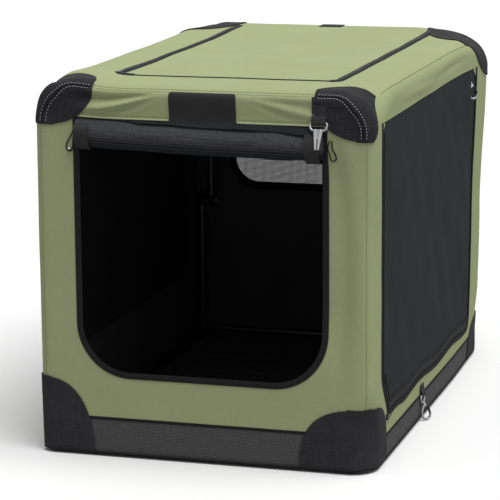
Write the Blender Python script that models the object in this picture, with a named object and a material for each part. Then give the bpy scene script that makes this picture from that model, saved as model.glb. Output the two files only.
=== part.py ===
"""Soft folding dog crate: a fabric cover on a folding tube frame.

X runs across the crate, Y from the front door to the rear wall and Z up, in metres.
The origin is the middle of the underside.
"""
from math import cos, pi, radians, sin, sqrt

import bmesh
import bpy
from mathutils import Matrix, Vector

MM = 0.001

# Cover: outer size of the fabric body
WIDTH = 584 * MM
DEPTH = 914 * MM
HEIGHT = 645 * MM
SKIN = 2.5 * MM
END_EDGE_RADIUS = 20 * MM
BASE_PLAN_RADIUS = 45 * MM
BOW_CORNER_RADIUS = 66 * MM
ROOF_CORNER_RADIUS = 28 * MM
FOOT_RADIUS = 14 * MM
LEAST_RADIUS = 4 * MM
BOW_SHAPE_REACH = 25 * MM
ROOF_SHAPE_REACH = 150 * MM
BAND_HEIGHT = 69 * MM
PLAN_FADE_HEIGHT = 80 * MM
ROOF_SKIRT = 57 * MM
SEAM_GAP = 0.3 * MM
FIT = 1.3 * MM
OVERRUN = 20 * MM
TOP_ARC_STEPS = 5
FOOT_ARC_STEPS = 2
EDGE_ARC_STEPS = 3
BASE_CORNER_SHARES = (0.3, 0.65, 1.0)
ROOF_FADE_SHARES = (0.4, 0.7, 1.0)
PLAN_FADE_SHARES = (0.0, 0.35, 0.7, 1.0)

# Frame tubes
TUBE_RADIUS = 8 * MM
TUBE_BORE = 6.5 * MM
TUBE_SIDES = 12
MITRE_LIMIT_SHARE = 0.5
SMALL_SIDES = 8
CLEAR = 0.3 * MM
SPIGOT_LENGTH = 12 * MM
STUB_LENGTH = 14 * MM
CORNER_LEG = 36 * MM
ELBOW_LEAD = 4 * MM

# Post hinges
EAR_THICKNESS = 4 * MM
PIN_RADIUS = 2.5 * MM
FOLD_GAP = 3 * MM
PLATE_THICKNESS = 8 * MM
PLATE_GAP = 1 * MM
TONGUE_LENGTH = 16 * MM
PIVOT_SETBACK = 2 * MM

# Knees
KNUCKLE_RADIUS = 12 * MM
KNEE_GAP = 0.4 * MM
POST_SPACING = 4.4 * MM
KNUCKLE_SIDES = 16
BUTTON_RADIUS = 5 * MM
BUTTON_DEPTH = 7 * MM
BUTTON_PROUD = 3.5 * MM
BUTTON_TRAVEL = 3 * MM

# Top rails
RAIL_SLEEVE_WALL = 1.6 * MM
RAIL_SLEEVE_LENGTH = 24 * MM

# Floor
PAD_THICKNESS = 12 * MM
PAD_EDGE = 3 * MM
PAD_ROOM = 4 * MM

# Rooms of the doors, windows and straps are measured in from the cover's faces
# Front doorway and its rolled door
DOOR_LEFT_ROOM = 66 * MM
DOOR_RIGHT_ROOM = 80 * MM
DOOR_SILL = 143 * MM
DOOR_HEAD_LAP = 2 * MM
DOOR_SILL_RADIUS = 90 * MM
DOOR_HEAD_RADIUS = 8 * MM
ROLL_RADIUS = 27 * MM
ROLL_RECESS = 12 * MM
ROLL_END_ROOM = 4 * MM
ROLL_SAG = 3 * MM
ROLL_FALL = 9 * MM
ROLL_LAP = 2.5 * MM

# Side door on the right
SIDE_FRONT_ROOM = 59 * MM
SIDE_REAR_ROOM = 112 * MM
SIDE_BOTTOM = 84 * MM
SIDE_TOP_ROOM = 1.5 * MM
SIDE_RADIUS = 30 * MM
ZIP_GAP = 0.4 * MM

# Top door
TOP_LEFT_ROOM = 101 * MM
TOP_RIGHT_ROOM = 92 * MM
TOP_FRONT_ROOM = 124 * MM
TOP_REAR_ROOM = 55 * MM
TOP_RADIUS = 12 * MM

# Mesh windows in the rear and left walls
REAR_WINDOW_SIDE_ROOM = 92 * MM
REAR_WINDOW_BOTTOM = 300 * MM
REAR_WINDOW_TOP_ROOM = 28 * MM
LEFT_WINDOW_FRONT_ROOM = 67 * MM
LEFT_WINDOW_REAR_ROOM = 117 * MM
LEFT_WINDOW_BOTTOM = 150 * MM
LEFT_WINDOW_TOP_ROOM = 18 * MM
WINDOW_RADIUS = 40 * MM
WINDOW_SEAM = 0.4 * MM
NET_PITCH = 61 * MM
NET_BAR = 12 * MM
MESH_THICKNESS = 1 * MM

# Corner patches
PATCH_THICKNESS = 1.5 * MM
PATCH_SIDES = 20
PATCH_RINGS = 12
CAP_WIDE = 100 * MM
CAP_DEEP = 80 * MM
CAP_TALL = 74 * MM
CAP_FULLNESS_SHARE = 2.5
BOOT_WIDE = 91 * MM
BOOT_DEEP = 89 * MM
BOOT_TALL = 137 * MM
BOOT_FULLNESS_SHARE = 2.3
BOOT_BOTTOM = 6 * MM

# Webbing and label
WEB_THICKNESS = 1.5 * MM
LABEL_WIDTH = 116 * MM
LABEL_HEIGHT = 54 * MM
LABEL_DROP = 8 * MM
LABEL_SHIFT = 1 * MM
REAR_TAB_WIDTH = 45 * MM
REAR_TAB_LENGTH = 32 * MM
REAR_TAB_SHIFT = 7 * MM
STRAP_WIDTH = 25 * MM
FRONT_STRAP_ROOM = 91 * MM
FRONT_STRAP_LENGTH = 44 * MM
FRONT_STRAP_DROP = 8 * MM
SIDE_STRAP_ROOM = 147 * MM
SIDE_STRAP_LENGTH = 40 * MM
SIDE_STRAP_DROP = 32 * MM
BASE_STRAP_Y = 92 * MM
BASE_STRAP_LENGTH = 22 * MM
BASE_STRAP_DROP = 2 * MM
LOOP_WALL = 1.5 * MM

# Snap hooks
HOOK_WIRE = 1.7 * MM
HOOK_BAR_WIDTH = 28 * MM
HOOK_RING_HEIGHT = 10 * MM
HOOK_THICKNESS = 4 * MM
HOOK_SHANK_WIDTH = 13 * MM
HOOK_SHANK_LENGTH = 10 * MM
HOOK_EYE_RADIUS = 9 * MM
HOOK_EYE_BORE = 5 * MM
HOOK_MOUTH = 4 * MM
FRONT_HOOK_LEAN = 20

# Zip sliders
SLIDER_WIDTH = 9 * MM
SLIDER_LENGTH = 13 * MM
SLIDER_THICKNESS = 4 * MM
PULL_WIDTH = 5 * MM
PULL_LENGTH = 24 * MM
PULL_THICKNESS = 1.8 * MM
SLIDER_NOSE_SHARE = 0.6
PULL_CORNER_SHARE = 1 / 3
SLIDER_FLOAT = 0.4 * MM
FRONT_PULL_DROP = 26 * MM

# Places that follow from the sizes above
HALF_WIDTH = WIDTH / 2
HALF_DEPTH = DEPTH / 2
ROOF_EDGE = HEIGHT - ROOF_SKIRT
SIDE_TOP = ROOF_EDGE - SIDE_TOP_ROOM
SIDE_FRONT = HALF_DEPTH - SIDE_FRONT_ROOM
SIDE_REAR = HALF_DEPTH - SIDE_REAR_ROOM
DOOR_LEFT = HALF_WIDTH - DOOR_LEFT_ROOM
DOOR_RIGHT = HALF_WIDTH - DOOR_RIGHT_ROOM
DOOR_HEAD = ROOF_EDGE + DOOR_HEAD_LAP
TOP_LEFT = HALF_WIDTH - TOP_LEFT_ROOM
TOP_RIGHT = HALF_WIDTH - TOP_RIGHT_ROOM
TOP_FRONT = HALF_DEPTH - TOP_FRONT_ROOM
TOP_REAR = HALF_DEPTH - TOP_REAR_ROOM
REAR_WINDOW_HALF = HALF_WIDTH - REAR_WINDOW_SIDE_ROOM
REAR_WINDOW_TOP = ROOF_EDGE - REAR_WINDOW_TOP_ROOM
LEFT_WINDOW_FRONT = HALF_DEPTH - LEFT_WINDOW_FRONT_ROOM
LEFT_WINDOW_REAR = HALF_DEPTH - LEFT_WINDOW_REAR_ROOM
LEFT_WINDOW_TOP = ROOF_EDGE - LEFT_WINDOW_TOP_ROOM
FRONT_STRAP_X = HALF_WIDTH - FRONT_STRAP_ROOM
SIDE_STRAP_Y = HALF_DEPTH - SIDE_STRAP_ROOM


def seat(radius):
    """Distance from the fabric's inner face to a tube lying in an edge of this outer radius."""
    inner = radius - SKIN
    snug = TUBE_RADIUS + FIT
    return max(snug, inner - (inner - snug) / sqrt(2))


ELBOW_RADIUS = BASE_PLAN_RADIUS - SKIN - seat(FOOT_RADIUS)
RAIL_X = HALF_WIDTH - BASE_PLAN_RADIUS + ELBOW_RADIUS
RAIL_Y = HALF_DEPTH - BASE_PLAN_RADIUS + ELBOW_RADIUS
RAIL_Z = SKIN + seat(FOOT_RADIUS)
CORNER_Y = HALF_DEPTH - BASE_PLAN_RADIUS
CORNER_X = HALF_WIDTH - BASE_PLAN_RADIUS
PIVOT_Y = CORNER_Y - PIVOT_SETBACK
BASE_PIVOT_Z = RAIL_Z + 2 * TUBE_RADIUS + FOLD_GAP
LOWER_X = RAIL_X
UPPER_X = RAIL_X - 2 * TUBE_RADIUS - POST_SPACING
KNEE_FACE_X = (LOWER_X + UPPER_X) / 2
BOW_X = HALF_WIDTH - SKIN - seat(END_EDGE_RADIUS)
BOW_Y = HALF_DEPTH - SKIN - seat(END_EDGE_RADIUS)
BOW_Z = HEIGHT - SKIN - seat(END_EDGE_RADIUS)
BOW_BEND = BOW_CORNER_RADIUS - SKIN - seat(END_EDGE_RADIUS)
STUB_END_Z = HEIGHT - BOW_CORNER_RADIUS - STUB_LENGTH
PLATE_TOP = STUB_END_Z - CLEAR
PLATE_BOTTOM = PLATE_TOP - PLATE_THICKNESS
TOP_PIVOT_Z = PLATE_BOTTOM - PLATE_GAP - TUBE_RADIUS
LINK = (TOP_PIVOT_Z - BASE_PIVOT_Z) / 2
KNEE_Z = BASE_PIVOT_Z + LINK
TOP_RAIL_X = BOW_X - BOW_BEND + BOW_BEND / sqrt(2)
TOP_RAIL_Z = BOW_Z - BOW_BEND + BOW_BEND / sqrt(2)
TONGUE_THICKNESS = 2 * (TUBE_RADIUS - EAR_THICKNESS - CLEAR)
ROLL_Y = -HALF_DEPTH + ROLL_RECESS
ROLL_Z = ROOF_EDGE - SEAM_GAP - sqrt(ROLL_RADIUS ** 2 - (ROLL_RECESS - SKIN) ** 2)
SIDE_HINGE_Z = SIDE_TOP - ZIP_GAP
TOP_HINGE_Y = TOP_REAR - ZIP_GAP


# Mesh helpers
def clear_scene():
    for item in list(bpy.data.objects):
        bpy.data.objects.remove(item, do_unlink=True)


def material(name, colour, roughness, metallic=0.0):
    finish = bpy.data.materials.new(name)
    finish.use_nodes = True
    shader = finish.node_tree.nodes["Principled BSDF"]
    shader.inputs["Base Color"].default_value = (*colour, 1.0)
    shader.inputs["Roughness"].default_value = roughness
    shader.inputs["Metallic"].default_value = metallic
    return finish


def solid(bm, name="solid"):
    """Turn a bmesh into an object whose faces point outwards."""
    bmesh.ops.recalc_face_normals(bm, faces=bm.faces)
    mesh = bpy.data.meshes.new(name)
    bm.to_mesh(mesh)
    bm.free()
    item = bpy.data.objects.new(name, mesh)
    bpy.context.scene.collection.objects.link(item)
    return item


def combine(target, tool, operation):
    """Apply a Boolean with the tool object and remove the tool."""
    change = target.modifiers.new("change", "BOOLEAN")
    change.operation = operation
    change.solver = "EXACT"
    change.object = tool
    bpy.context.view_layer.update()
    view = bpy.context.evaluated_depsgraph_get()
    mesh = bpy.data.meshes.new_from_object(target.evaluated_get(view))
    target.modifiers.clear()
    target.data = mesh
    bpy.data.objects.remove(tool, do_unlink=True)
    return target


def cut(target, tool):
    return combine(target, tool, "DIFFERENCE")


def keep(target, tool):
    return combine(target, tool, "INTERSECT")


def weld(target, tool):
    return combine(target, tool, "UNION")


def box(low, high):
    bm = bmesh.new()
    bmesh.ops.create_cube(bm, size=1.0)
    low, high = Vector(low), Vector(high)
    for vert in bm.verts:
        for axis in range(3):
            vert.co[axis] = high[axis] if vert.co[axis] > 0 else low[axis]
    return solid(bm, "box")


def prism(outline, axis, start, end):
    """Extrude a flat outline along an axis; its points are the other two coordinates in order."""
    bm = bmesh.new()
    rings = []
    for place in (start, end):
        ring = []
        for first, second in outline:
            point = [first, second]
            point.insert(axis, place)
            ring.append(bm.verts.new(point))
        rings.append(ring)
    count = len(outline)
    for i in range(count):
        j = (i + 1) % count
        bm.faces.new((rings[0][i], rings[0][j], rings[1][j], rings[1][i]))
    bm.faces.new(rings[0])
    bm.faces.new(rings[1])
    return solid(bm, "prism")


def arc(centre, radius, start, end, steps):
    """Points on an arc, with angles in degrees."""
    points = []
    for i in range(steps + 1):
        angle = radians(start + (end - start) * i / steps)
        points.append((centre[0] + radius * cos(angle), centre[1] + radius * sin(angle)))
    return points


def disc(centre, radius, axis, start, end, sides=TUBE_SIDES):
    """A round bar along an axis; centre is the other two coordinates in order."""
    return prism(arc(centre, radius, 0, 360, sides)[:-1], axis, start, end)


def rounded(low, high, radii, steps=5):
    """Rounded rectangle; radii start at the low-low corner and turn with the outline."""
    (a0, b0), (a1, b1) = low, high
    points = []
    corners = ((a0, b0, 180), (a1, b0, 270), (a1, b1, 0), (a0, b1, 90))
    for (a, b, start), radius in zip(corners, radii):
        centre = (a + radius if a == a0 else a - radius, b + radius if b == b0 else b - radius)
        points += arc(centre, radius, start, start + 90, steps)
    return points


def sweep(path, radius, bore=0.0, sides=TUBE_SIDES):
    """A round tube along a flat path of points, open at its ends when it has a bore."""
    bm = bmesh.new()
    path = [Vector(point) for point in path]
    flat = Vector((0, 0, 0))
    for i in range(1, len(path) - 1):
        flat += (path[i] - path[i - 1]).cross(path[i + 1] - path[i])
    if len(path) == 2:
        flat = (path[-1] - path[0]).orthogonal()
    flat.normalize()
    walls = []
    for reach in ([radius, bore] if bore else [radius]):
        rings = []
        for i, point in enumerate(path):
            before = (point - path[i - 1]).normalized() if i else (path[1] - point).normalized()
            after = (path[i + 1] - point).normalized() if i < len(path) - 1 else before
            along = (before + after).normalized()
            stretch = 1 / max(along.dot(before), MITRE_LIMIT_SHARE)
            out = along.cross(flat).normalized()
            ring = []
            for k in range(sides):
                angle = 2 * pi * (k + 0.5) / sides
                offset = out * (reach * cos(angle) * stretch) + flat * (reach * sin(angle))
                ring.append(bm.verts.new(point + offset))
            rings.append(ring)
        for first, second in zip(rings, rings[1:]):
            for k in range(sides):
                n = (k + 1) % sides
                bm.faces.new((first[k], first[n], second[n], second[k]))
        walls.append(rings)
    for end in (0, -1):
        if bore:
            outer, inner = walls[0][end], walls[1][end]
            for k in range(sides):
                n = (k + 1) % sides
                bm.faces.new((outer[k], outer[n], inner[n], inner[k]))
        else:
            bm.faces.new(walls[0][end])
    return solid(bm, "tube")


def mirrored(piece, across_x=False, across_y=False):
    """A copy of a piece, mirrored across the crate's middle planes."""
    bm = bmesh.new()
    bm.from_mesh(piece.data)
    flip = (-1 if across_x else 1, -1 if across_y else 1, 1)
    bmesh.ops.scale(bm, vec=flip, verts=bm.verts)
    return solid(bm, piece.name)


def four_corners(name, piece):
    """The piece at the rear right, copied to all four corners and named for each."""
    return {
        f"rear_right_{name}": piece,
        f"rear_left_{name}": mirrored(piece, across_x=True),
        f"front_right_{name}": mirrored(piece, across_y=True),
        f"front_left_{name}": mirrored(piece, across_x=True, across_y=True),
    }


def two_sides(name, piece):
    return {f"right_{name}": piece, f"left_{name}": mirrored(piece, across_x=True)}


def two_ends(name, piece):
    return {f"rear_{name}": piece, f"front_{name}": mirrored(piece, across_y=True)}


# Fabric body
def smooth(value):
    value = min(max(value, 0.0), 1.0)
    return value * value * (3 - 2 * value)


def edge_inset(radius, from_end):
    """How far a rounded edge has drawn in at this distance from the end face."""
    if from_end >= radius:
        return 0.0
    return radius - sqrt(max(radius * radius - (radius - from_end) ** 2, 0.0))


def cover_section(from_end, inset):
    """Outline of the cover across the crate, at a distance from its end face."""
    edge = END_EDGE_RADIUS - inset
    base = BASE_PLAN_RADIUS - inset
    drawn = edge_inset(edge, from_end)
    drawn_base = edge_inset(base, from_end)
    fade = smooth((from_end - BOW_SHAPE_REACH) / (ROOF_SHAPE_REACH - BOW_SHAPE_REACH))
    corner = BOW_CORNER_RADIUS + fade * (ROOF_CORNER_RADIUS - BOW_CORNER_RADIUS) - inset - drawn
    foot = max(FOOT_RADIUS - inset - drawn, LEAST_RADIUS - inset)
    side = HALF_WIDTH - inset - drawn
    top = HEIGHT - inset - drawn
    half = arc((side - foot, inset + foot), foot, -90, 0, FOOT_ARC_STEPS)
    for share in PLAN_FADE_SHARES:
        half.append((side, BAND_HEIGHT + share * PLAN_FADE_HEIGHT))
    half += arc((side - corner, top - corner), corner, 0, 90, TOP_ARC_STEPS)
    shaped = []
    for x, z in half:
        low = 1 - smooth((z - BAND_HEIGHT) / PLAN_FADE_HEIGHT)
        shaped.append((x - low * (drawn_base - drawn), z))
    return shaped + [(-x, z) for x, z in reversed(shaped)]


def cover_form(inset):
    """The closed outer shape of the cover, drawn in by an inset."""
    edge = END_EDGE_RADIUS - inset
    base = BASE_PLAN_RADIUS - inset
    turns = [pi / 2 * i / EDGE_ARC_STEPS for i in range(EDGE_ARC_STEPS + 1)]
    stations = [edge * (1 - cos(turn)) for turn in turns]
    stations += [edge + (base - edge) * share for share in BASE_CORNER_SHARES]
    fade = ROOF_SHAPE_REACH - base
    stations += [base + fade * share for share in ROOF_FADE_SHARES]
    reach = HALF_DEPTH - inset
    places = [(-reach + s, s) for s in stations] + [(reach - s, s) for s in reversed(stations)]
    bm = bmesh.new()
    rings = []
    for y, from_end in places:
        rings.append([bm.verts.new((x, y, z)) for x, z in cover_section(from_end, inset)])
    count = len(rings[0])
    for first, second in zip(rings, rings[1:]):
        for i in range(count):
            j = (i + 1) % count
            bm.faces.new((first[i], first[j], second[j], second[i]))
    for ring in (rings[0], rings[-1]):
        for i in range(count // 2 - 1):
            bm.faces.new((ring[i], ring[i + 1], ring[-2 - i], ring[-1 - i]))
    bmesh.ops.triangulate(bm, faces=bm.faces)
    return solid(bm, "form")


def cover_piece(name, region, outer=0.0, inner=SKIN):
    """The part of the fabric shell that lies in a region."""
    piece = keep(cover_form(outer), region)
    piece = cut(piece, cover_form(inner))
    piece.name = name
    return piece


def far_box(x=None, y=None, z=None):
    """A box that reaches past the whole crate except where a range is given."""
    ranges = []
    limits = ((-WIDTH, WIDTH), (-DEPTH, DEPTH), (-HEIGHT, 2 * HEIGHT))
    for given, limit in zip((x, y, z), limits):
        ranges.append(given or limit)
    return box([r[0] for r in ranges], [r[1] for r in ranges])


WALL_LOW = BAND_HEIGHT + SEAM_GAP
WALL_HIGH = ROOF_EDGE - SEAM_GAP
WALL_END = HALF_DEPTH - END_EDGE_RADIUS


def doorway(room=0.0):
    low = (-DOOR_LEFT + room, DOOR_SILL + room)
    high = (DOOR_RIGHT - room, DOOR_HEAD - room)
    sill = DOOR_SILL_RADIUS - room
    outline = rounded(low, high, (sill, sill, DOOR_HEAD_RADIUS, DOOR_HEAD_RADIUS), 6)
    return prism(outline, 1, -HALF_DEPTH - OVERRUN, -HALF_DEPTH + OVERRUN)


def side_outline(room=0.0):
    low = (-SIDE_FRONT + room, SIDE_BOTTOM + room)
    high = (SIDE_REAR - room, SIDE_TOP - room)
    return rounded(low, high, [SIDE_RADIUS - room] * 4, 3)


def side_opening(room=0.0):
    return prism(side_outline(room), 0, HALF_WIDTH - OVERRUN, HALF_WIDTH + OVERRUN)


def top_opening(room=0.0):
    low = (-TOP_LEFT + room, -TOP_FRONT + room)
    high = (TOP_RIGHT - room, TOP_REAR - room)
    outline = rounded(low, high, [TOP_RADIUS - room] * 4, 2)
    return prism(outline, 2, HEIGHT - OVERRUN, HEIGHT + OVERRUN)


def rear_window_corners(room=0.0):
    return ((-REAR_WINDOW_HALF + room, REAR_WINDOW_BOTTOM + room),
            (REAR_WINDOW_HALF - room, REAR_WINDOW_TOP - room))


def rear_window_opening(room=0.0):
    outline = rounded(*rear_window_corners(room), [WINDOW_RADIUS - room] * 4, 3)
    return prism(outline, 1, HALF_DEPTH - OVERRUN, HALF_DEPTH + OVERRUN)


def left_window_opening(room=0.0):
    low = (-LEFT_WINDOW_FRONT + room, LEFT_WINDOW_BOTTOM + room)
    high = (LEFT_WINDOW_REAR - room, LEFT_WINDOW_TOP - room)
    outline = rounded(low, high, [WINDOW_RADIUS - room] * 4, 3)
    return prism(outline, 0, -HALF_WIDTH - OVERRUN, -HALF_WIDTH + OVERRUN)


def rear_window_net():
    """The region of the rear window, with a plain grid of holes that stands for its fine mesh."""
    rim = WINDOW_SEAM + NET_BAR
    low, high = rear_window_corners(rim)
    counts = [max(round((b - a) / NET_PITCH), 1) for a, b in zip(low, high)]
    steps = [(b - a) / count for a, b, count in zip(low, high, counts)]
    bm = bmesh.new()
    for i in range(counts[0]):
        for j in range(counts[1]):
            hole = bmesh.ops.create_cube(bm, size=1.0)["verts"]
            middle = (low[0] + (i + 0.5) * steps[0], HALF_DEPTH, low[1] + (j + 0.5) * steps[1])
            sizes = (steps[0] - NET_BAR, 4 * OVERRUN, steps[1] - NET_BAR)
            bmesh.ops.scale(bm, vec=sizes, verts=hole)
            bmesh.ops.translate(bm, vec=middle, verts=hole)
    holes = keep(solid(bm, "net_holes"), rear_window_opening(rim))
    return cut(rear_window_opening(WINDOW_SEAM), holes)


def wall(name, x=None, y=None, opening=None):
    piece = cover_piece(name, far_box(x=x, y=y, z=(WALL_LOW, WALL_HIGH)))
    if opening:
        cut(piece, opening)
    return piece


def make_cover():
    front = (-DEPTH, -WALL_END - SEAM_GAP / 2)
    rear = (WALL_END + SEAM_GAP / 2, DEPTH)
    between = (-WALL_END + SEAM_GAP / 2, WALL_END - SEAM_GAP / 2)
    pieces = {
        "bottom_cover": cover_piece("bottom_cover", far_box(z=(-HEIGHT, BAND_HEIGHT))),
        "roof_panel": cover_piece("roof_panel", far_box(z=(ROOF_EDGE, 2 * HEIGHT))),
        "front_wall": wall("front_wall", y=front, opening=doorway()),
        "rear_wall": wall("rear_wall", y=rear, opening=rear_window_opening()),
        "left_wall": wall("left_wall", x=(-WIDTH, 0), y=between, opening=left_window_opening()),
        "right_wall": wall("right_wall", x=(0, WIDTH), y=between, opening=side_opening()),
    }
    cut(pieces["roof_panel"], top_opening())
    pieces["top_door"] = cover_piece("top_door", top_opening(ZIP_GAP))
    pieces["side_door"] = cover_piece("side_door", side_opening(ZIP_GAP))
    middle = (SKIN - MESH_THICKNESS) / 2
    net = {"outer": middle, "inner": middle + MESH_THICKNESS}
    pieces["rear_window"] = cover_piece("rear_window", rear_window_net(), **net)
    pieces["left_window"] = cover_piece("left_window", left_window_opening(WINDOW_SEAM), **net)
    return pieces


# Corner patches
def fat_ball(centre, reaches, fullness):
    """A ball whose fullness share sets how square it is."""
    bm = bmesh.new()
    bmesh.ops.create_uvsphere(bm, u_segments=PATCH_SIDES, v_segments=PATCH_RINGS, radius=1.0)
    for vert in bm.verts:
        size = sum(abs(value) ** fullness for value in vert.co) ** (1 / fullness)
        for axis in range(3):
            vert.co[axis] = centre[axis] + vert.co[axis] / size * reaches[axis]
    return solid(bm, "ball")


def patch(name, sign_x, sign_y, at_top):
    if at_top:
        reaches, fullness, height = (CAP_WIDE, CAP_DEEP, CAP_TALL), CAP_FULLNESS_SHARE, HEIGHT
    else:
        reaches, fullness, height = (BOOT_WIDE, BOOT_DEEP, BOOT_TALL), BOOT_FULLNESS_SHARE, 0.0
    region = fat_ball((sign_x * HALF_WIDTH, sign_y * HALF_DEPTH, height), reaches, fullness)
    if not at_top:
        keep(region, far_box(z=(BOOT_BOTTOM, HEIGHT)))
    return cover_piece(name, region, -SEAM_GAP - PATCH_THICKNESS, -SEAM_GAP)


def make_patches():
    pieces = {}
    for ends, sign_y in (("front", -1), ("rear", 1)):
        for sides, sign_x in (("left", -1), ("right", 1)):
            cap = f"{ends}_{sides}_cap"
            boot = f"{ends}_{sides}_boot"
            pieces[cap] = patch(cap, sign_x, sign_y, True)
            pieces[boot] = patch(boot, sign_x, sign_y, False)
    return pieces


# Base frame
def base_corner():
    """Moulded corner at the rear right: an elbow, a leg and the ears of the post's hinge."""
    bend = arc((CORNER_X, CORNER_Y), ELBOW_RADIUS, 90, 0, 5)
    lead_end = CORNER_X - ELBOW_LEAD
    path = [(lead_end, RAIL_Y, RAIL_Z)] + [(x, y, RAIL_Z) for x, y in bend]
    path.append((RAIL_X, CORNER_Y - CORNER_LEG, RAIL_Z))
    piece = sweep(path, TUBE_RADIUS)
    spigot = TUBE_BORE - CLEAR
    weld(piece, disc((RAIL_Y, RAIL_Z), spigot, 0, lead_end - SPIGOT_LENGTH, CORNER_X,
                     SMALL_SIDES))
    leg_end = CORNER_Y - CORNER_LEG
    weld(piece, disc((RAIL_X, RAIL_Z), spigot, 1, leg_end - SPIGOT_LENGTH,
                     leg_end + spigot, SMALL_SIDES))
    ears = prism(
        [(PIVOT_Y - TUBE_RADIUS, RAIL_Z)]
        + [(PIVOT_Y + TUBE_RADIUS, RAIL_Z)]
        + arc((PIVOT_Y, BASE_PIVOT_Z), TUBE_RADIUS, 0, 180, 4),
        0, LOWER_X - TUBE_RADIUS, LOWER_X + TUBE_RADIUS)
    slot = TUBE_RADIUS - EAR_THICKNESS
    wide = 2 * TUBE_RADIUS
    slot_low = RAIL_Z + TUBE_RADIUS + FOLD_GAP - CLEAR
    cut(ears, box((LOWER_X - slot, PIVOT_Y - wide, slot_low),
                  (LOWER_X + slot, PIVOT_Y + wide, BASE_PIVOT_Z + wide)))
    return weld(piece, ears)


def hinge_pin(x, y, z):
    """Pin across one post hinge, fixed in its ears."""
    return disc((y, z), PIN_RADIUS, 0, x - TUBE_RADIUS, x + TUBE_RADIUS, SMALL_SIDES)


def make_base():
    corner = base_corner()
    weld(corner, hinge_pin(LOWER_X, PIVOT_Y, BASE_PIVOT_Z))
    pieces = four_corners("base_corner", corner)
    end_x = CORNER_X - ELBOW_LEAD - CLEAR
    cross = sweep([(-end_x, RAIL_Y, RAIL_Z), (end_x, RAIL_Y, RAIL_Z)], TUBE_RADIUS, TUBE_BORE)
    pieces.update(two_ends("base_rail", cross))
    end_y = CORNER_Y - CORNER_LEG - CLEAR
    side = sweep([(RAIL_X, -end_y, RAIL_Z), (RAIL_X, end_y, RAIL_Z)], TUBE_RADIUS, TUBE_BORE)
    pieces.update(two_sides("base_rail", side))
    pieces["floor_pad"] = floor_pad()
    return pieces


def floor_pad():
    """Padded floor with a rounded upper edge, inside the base rails."""
    low, high = SKIN + CLEAR, SKIN + CLEAR + PAD_THICKNESS
    half_x = RAIL_X - TUBE_RADIUS - PAD_ROOM
    half_y = RAIL_Y - TUBE_RADIUS - PAD_ROOM
    bm = bmesh.new()
    rings = []
    for inset, z in ((0.0, low), (0.0, high - PAD_EDGE), (PAD_EDGE, high)):
        radius = ELBOW_RADIUS - inset
        outline = rounded((-half_x + inset, -half_y + inset), (half_x - inset, half_y - inset),
                          [radius] * 4, 3)
        rings.append([bm.verts.new((x, y, z)) for x, y in outline])
    count = len(rings[0])
    for first, second in zip(rings, rings[1:]):
        for i in range(count):
            j = (i + 1) % count
            bm.faces.new((first[i], first[j], second[j], second[i]))
    bm.faces.new(rings[0])
    bm.faces.new(rings[-1])
    return solid(bm, "pad")


# Posts and knees
def post(x, pivot_z, upward, face_x, outer_x):
    """A post with a flattened end at its hinge and a round knee joint at its other end."""
    turn = 1 if upward else -1
    tube_start = pivot_z + turn * TONGUE_LENGTH
    piece = sweep([(x, PIVOT_Y, tube_start), (x, PIVOT_Y, KNEE_Z)], TUBE_RADIUS)
    flat = TONGUE_THICKNESS / 2
    past = tube_start + turn * TUBE_RADIUS
    round_end = arc((PIVOT_Y, pivot_z), TUBE_RADIUS, 0, -180 * turn, 4)
    sides = [(PIVOT_Y - TUBE_RADIUS, past), (PIVOT_Y + TUBE_RADIUS, past)]
    weld(piece, prism(round_end + sides, 0, x - flat, x + flat))
    cut(piece, disc((PIVOT_Y, pivot_z), PIN_RADIUS + CLEAR, 0, x - TUBE_RADIUS,
                    x + TUBE_RADIUS, SMALL_SIDES))
    low_x, high_x = sorted((face_x, outer_x))
    knuckle = disc((PIVOT_Y, KNEE_Z), KNUCKLE_RADIUS, 0, low_x, high_x, KNUCKLE_SIDES)
    weld(piece, knuckle)
    beyond = 1 if face_x > outer_x else -1
    clear_of = sorted((face_x, face_x + beyond * OVERRUN))
    return cut(piece, box((clear_of[0], PIVOT_Y - OVERRUN, KNEE_Z - OVERRUN),
                          (clear_of[1], PIVOT_Y + OVERRUN, KNEE_Z + OVERRUN)))


def lower_post():
    """Lower post, with the knee's pin fixed in its joint."""
    face = KNEE_FACE_X + KNEE_GAP / 2
    piece = post(LOWER_X, BASE_PIVOT_Z, True, face, LOWER_X + TUBE_RADIUS)
    pin_start = UPPER_X - TUBE_RADIUS + BUTTON_DEPTH + CLEAR
    return weld(piece, disc((PIVOT_Y, KNEE_Z), PIN_RADIUS, 0, pin_start, LOWER_X, SMALL_SIDES))


def upper_post():
    """Upper post, bored for the knee's pin and for its button."""
    low_x = UPPER_X - TUBE_RADIUS
    piece = post(UPPER_X, TOP_PIVOT_Z, False, KNEE_FACE_X - KNEE_GAP / 2, low_x)
    place = (PIVOT_Y, KNEE_Z)
    cut(piece, disc(place, PIN_RADIUS + CLEAR, 0, low_x - OVERRUN, LOWER_X, SMALL_SIDES))
    return cut(piece, disc(place, BUTTON_RADIUS + CLEAR, 0, low_x - OVERRUN,
                           low_x + BUTTON_DEPTH))


def knee_button():
    """Push button in the inner face of the knee, on its axis."""
    face = UPPER_X - TUBE_RADIUS
    length = BUTTON_DEPTH - BUTTON_TRAVEL - CLEAR
    return disc((PIVOT_Y, KNEE_Z), BUTTON_RADIUS, 0, face - BUTTON_PROUD, face + length)


def make_posts():
    pieces = four_corners("lower_post", lower_post())
    pieces.update(four_corners("upper_post", upper_post()))
    pieces.update(four_corners("knee_button", knee_button()))
    return pieces


# Top frame
def bow_path(reach_y):
    centre_z = BOW_Z - BOW_BEND
    right = arc((BOW_X - BOW_BEND, centre_z), BOW_BEND, 0, 90, 5)
    half = [(BOW_X, STUB_END_Z)] + right
    points = half + [(-x, z) for x, z in reversed(half)]
    return [(x, reach_y, z) for x, z in points]


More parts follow.
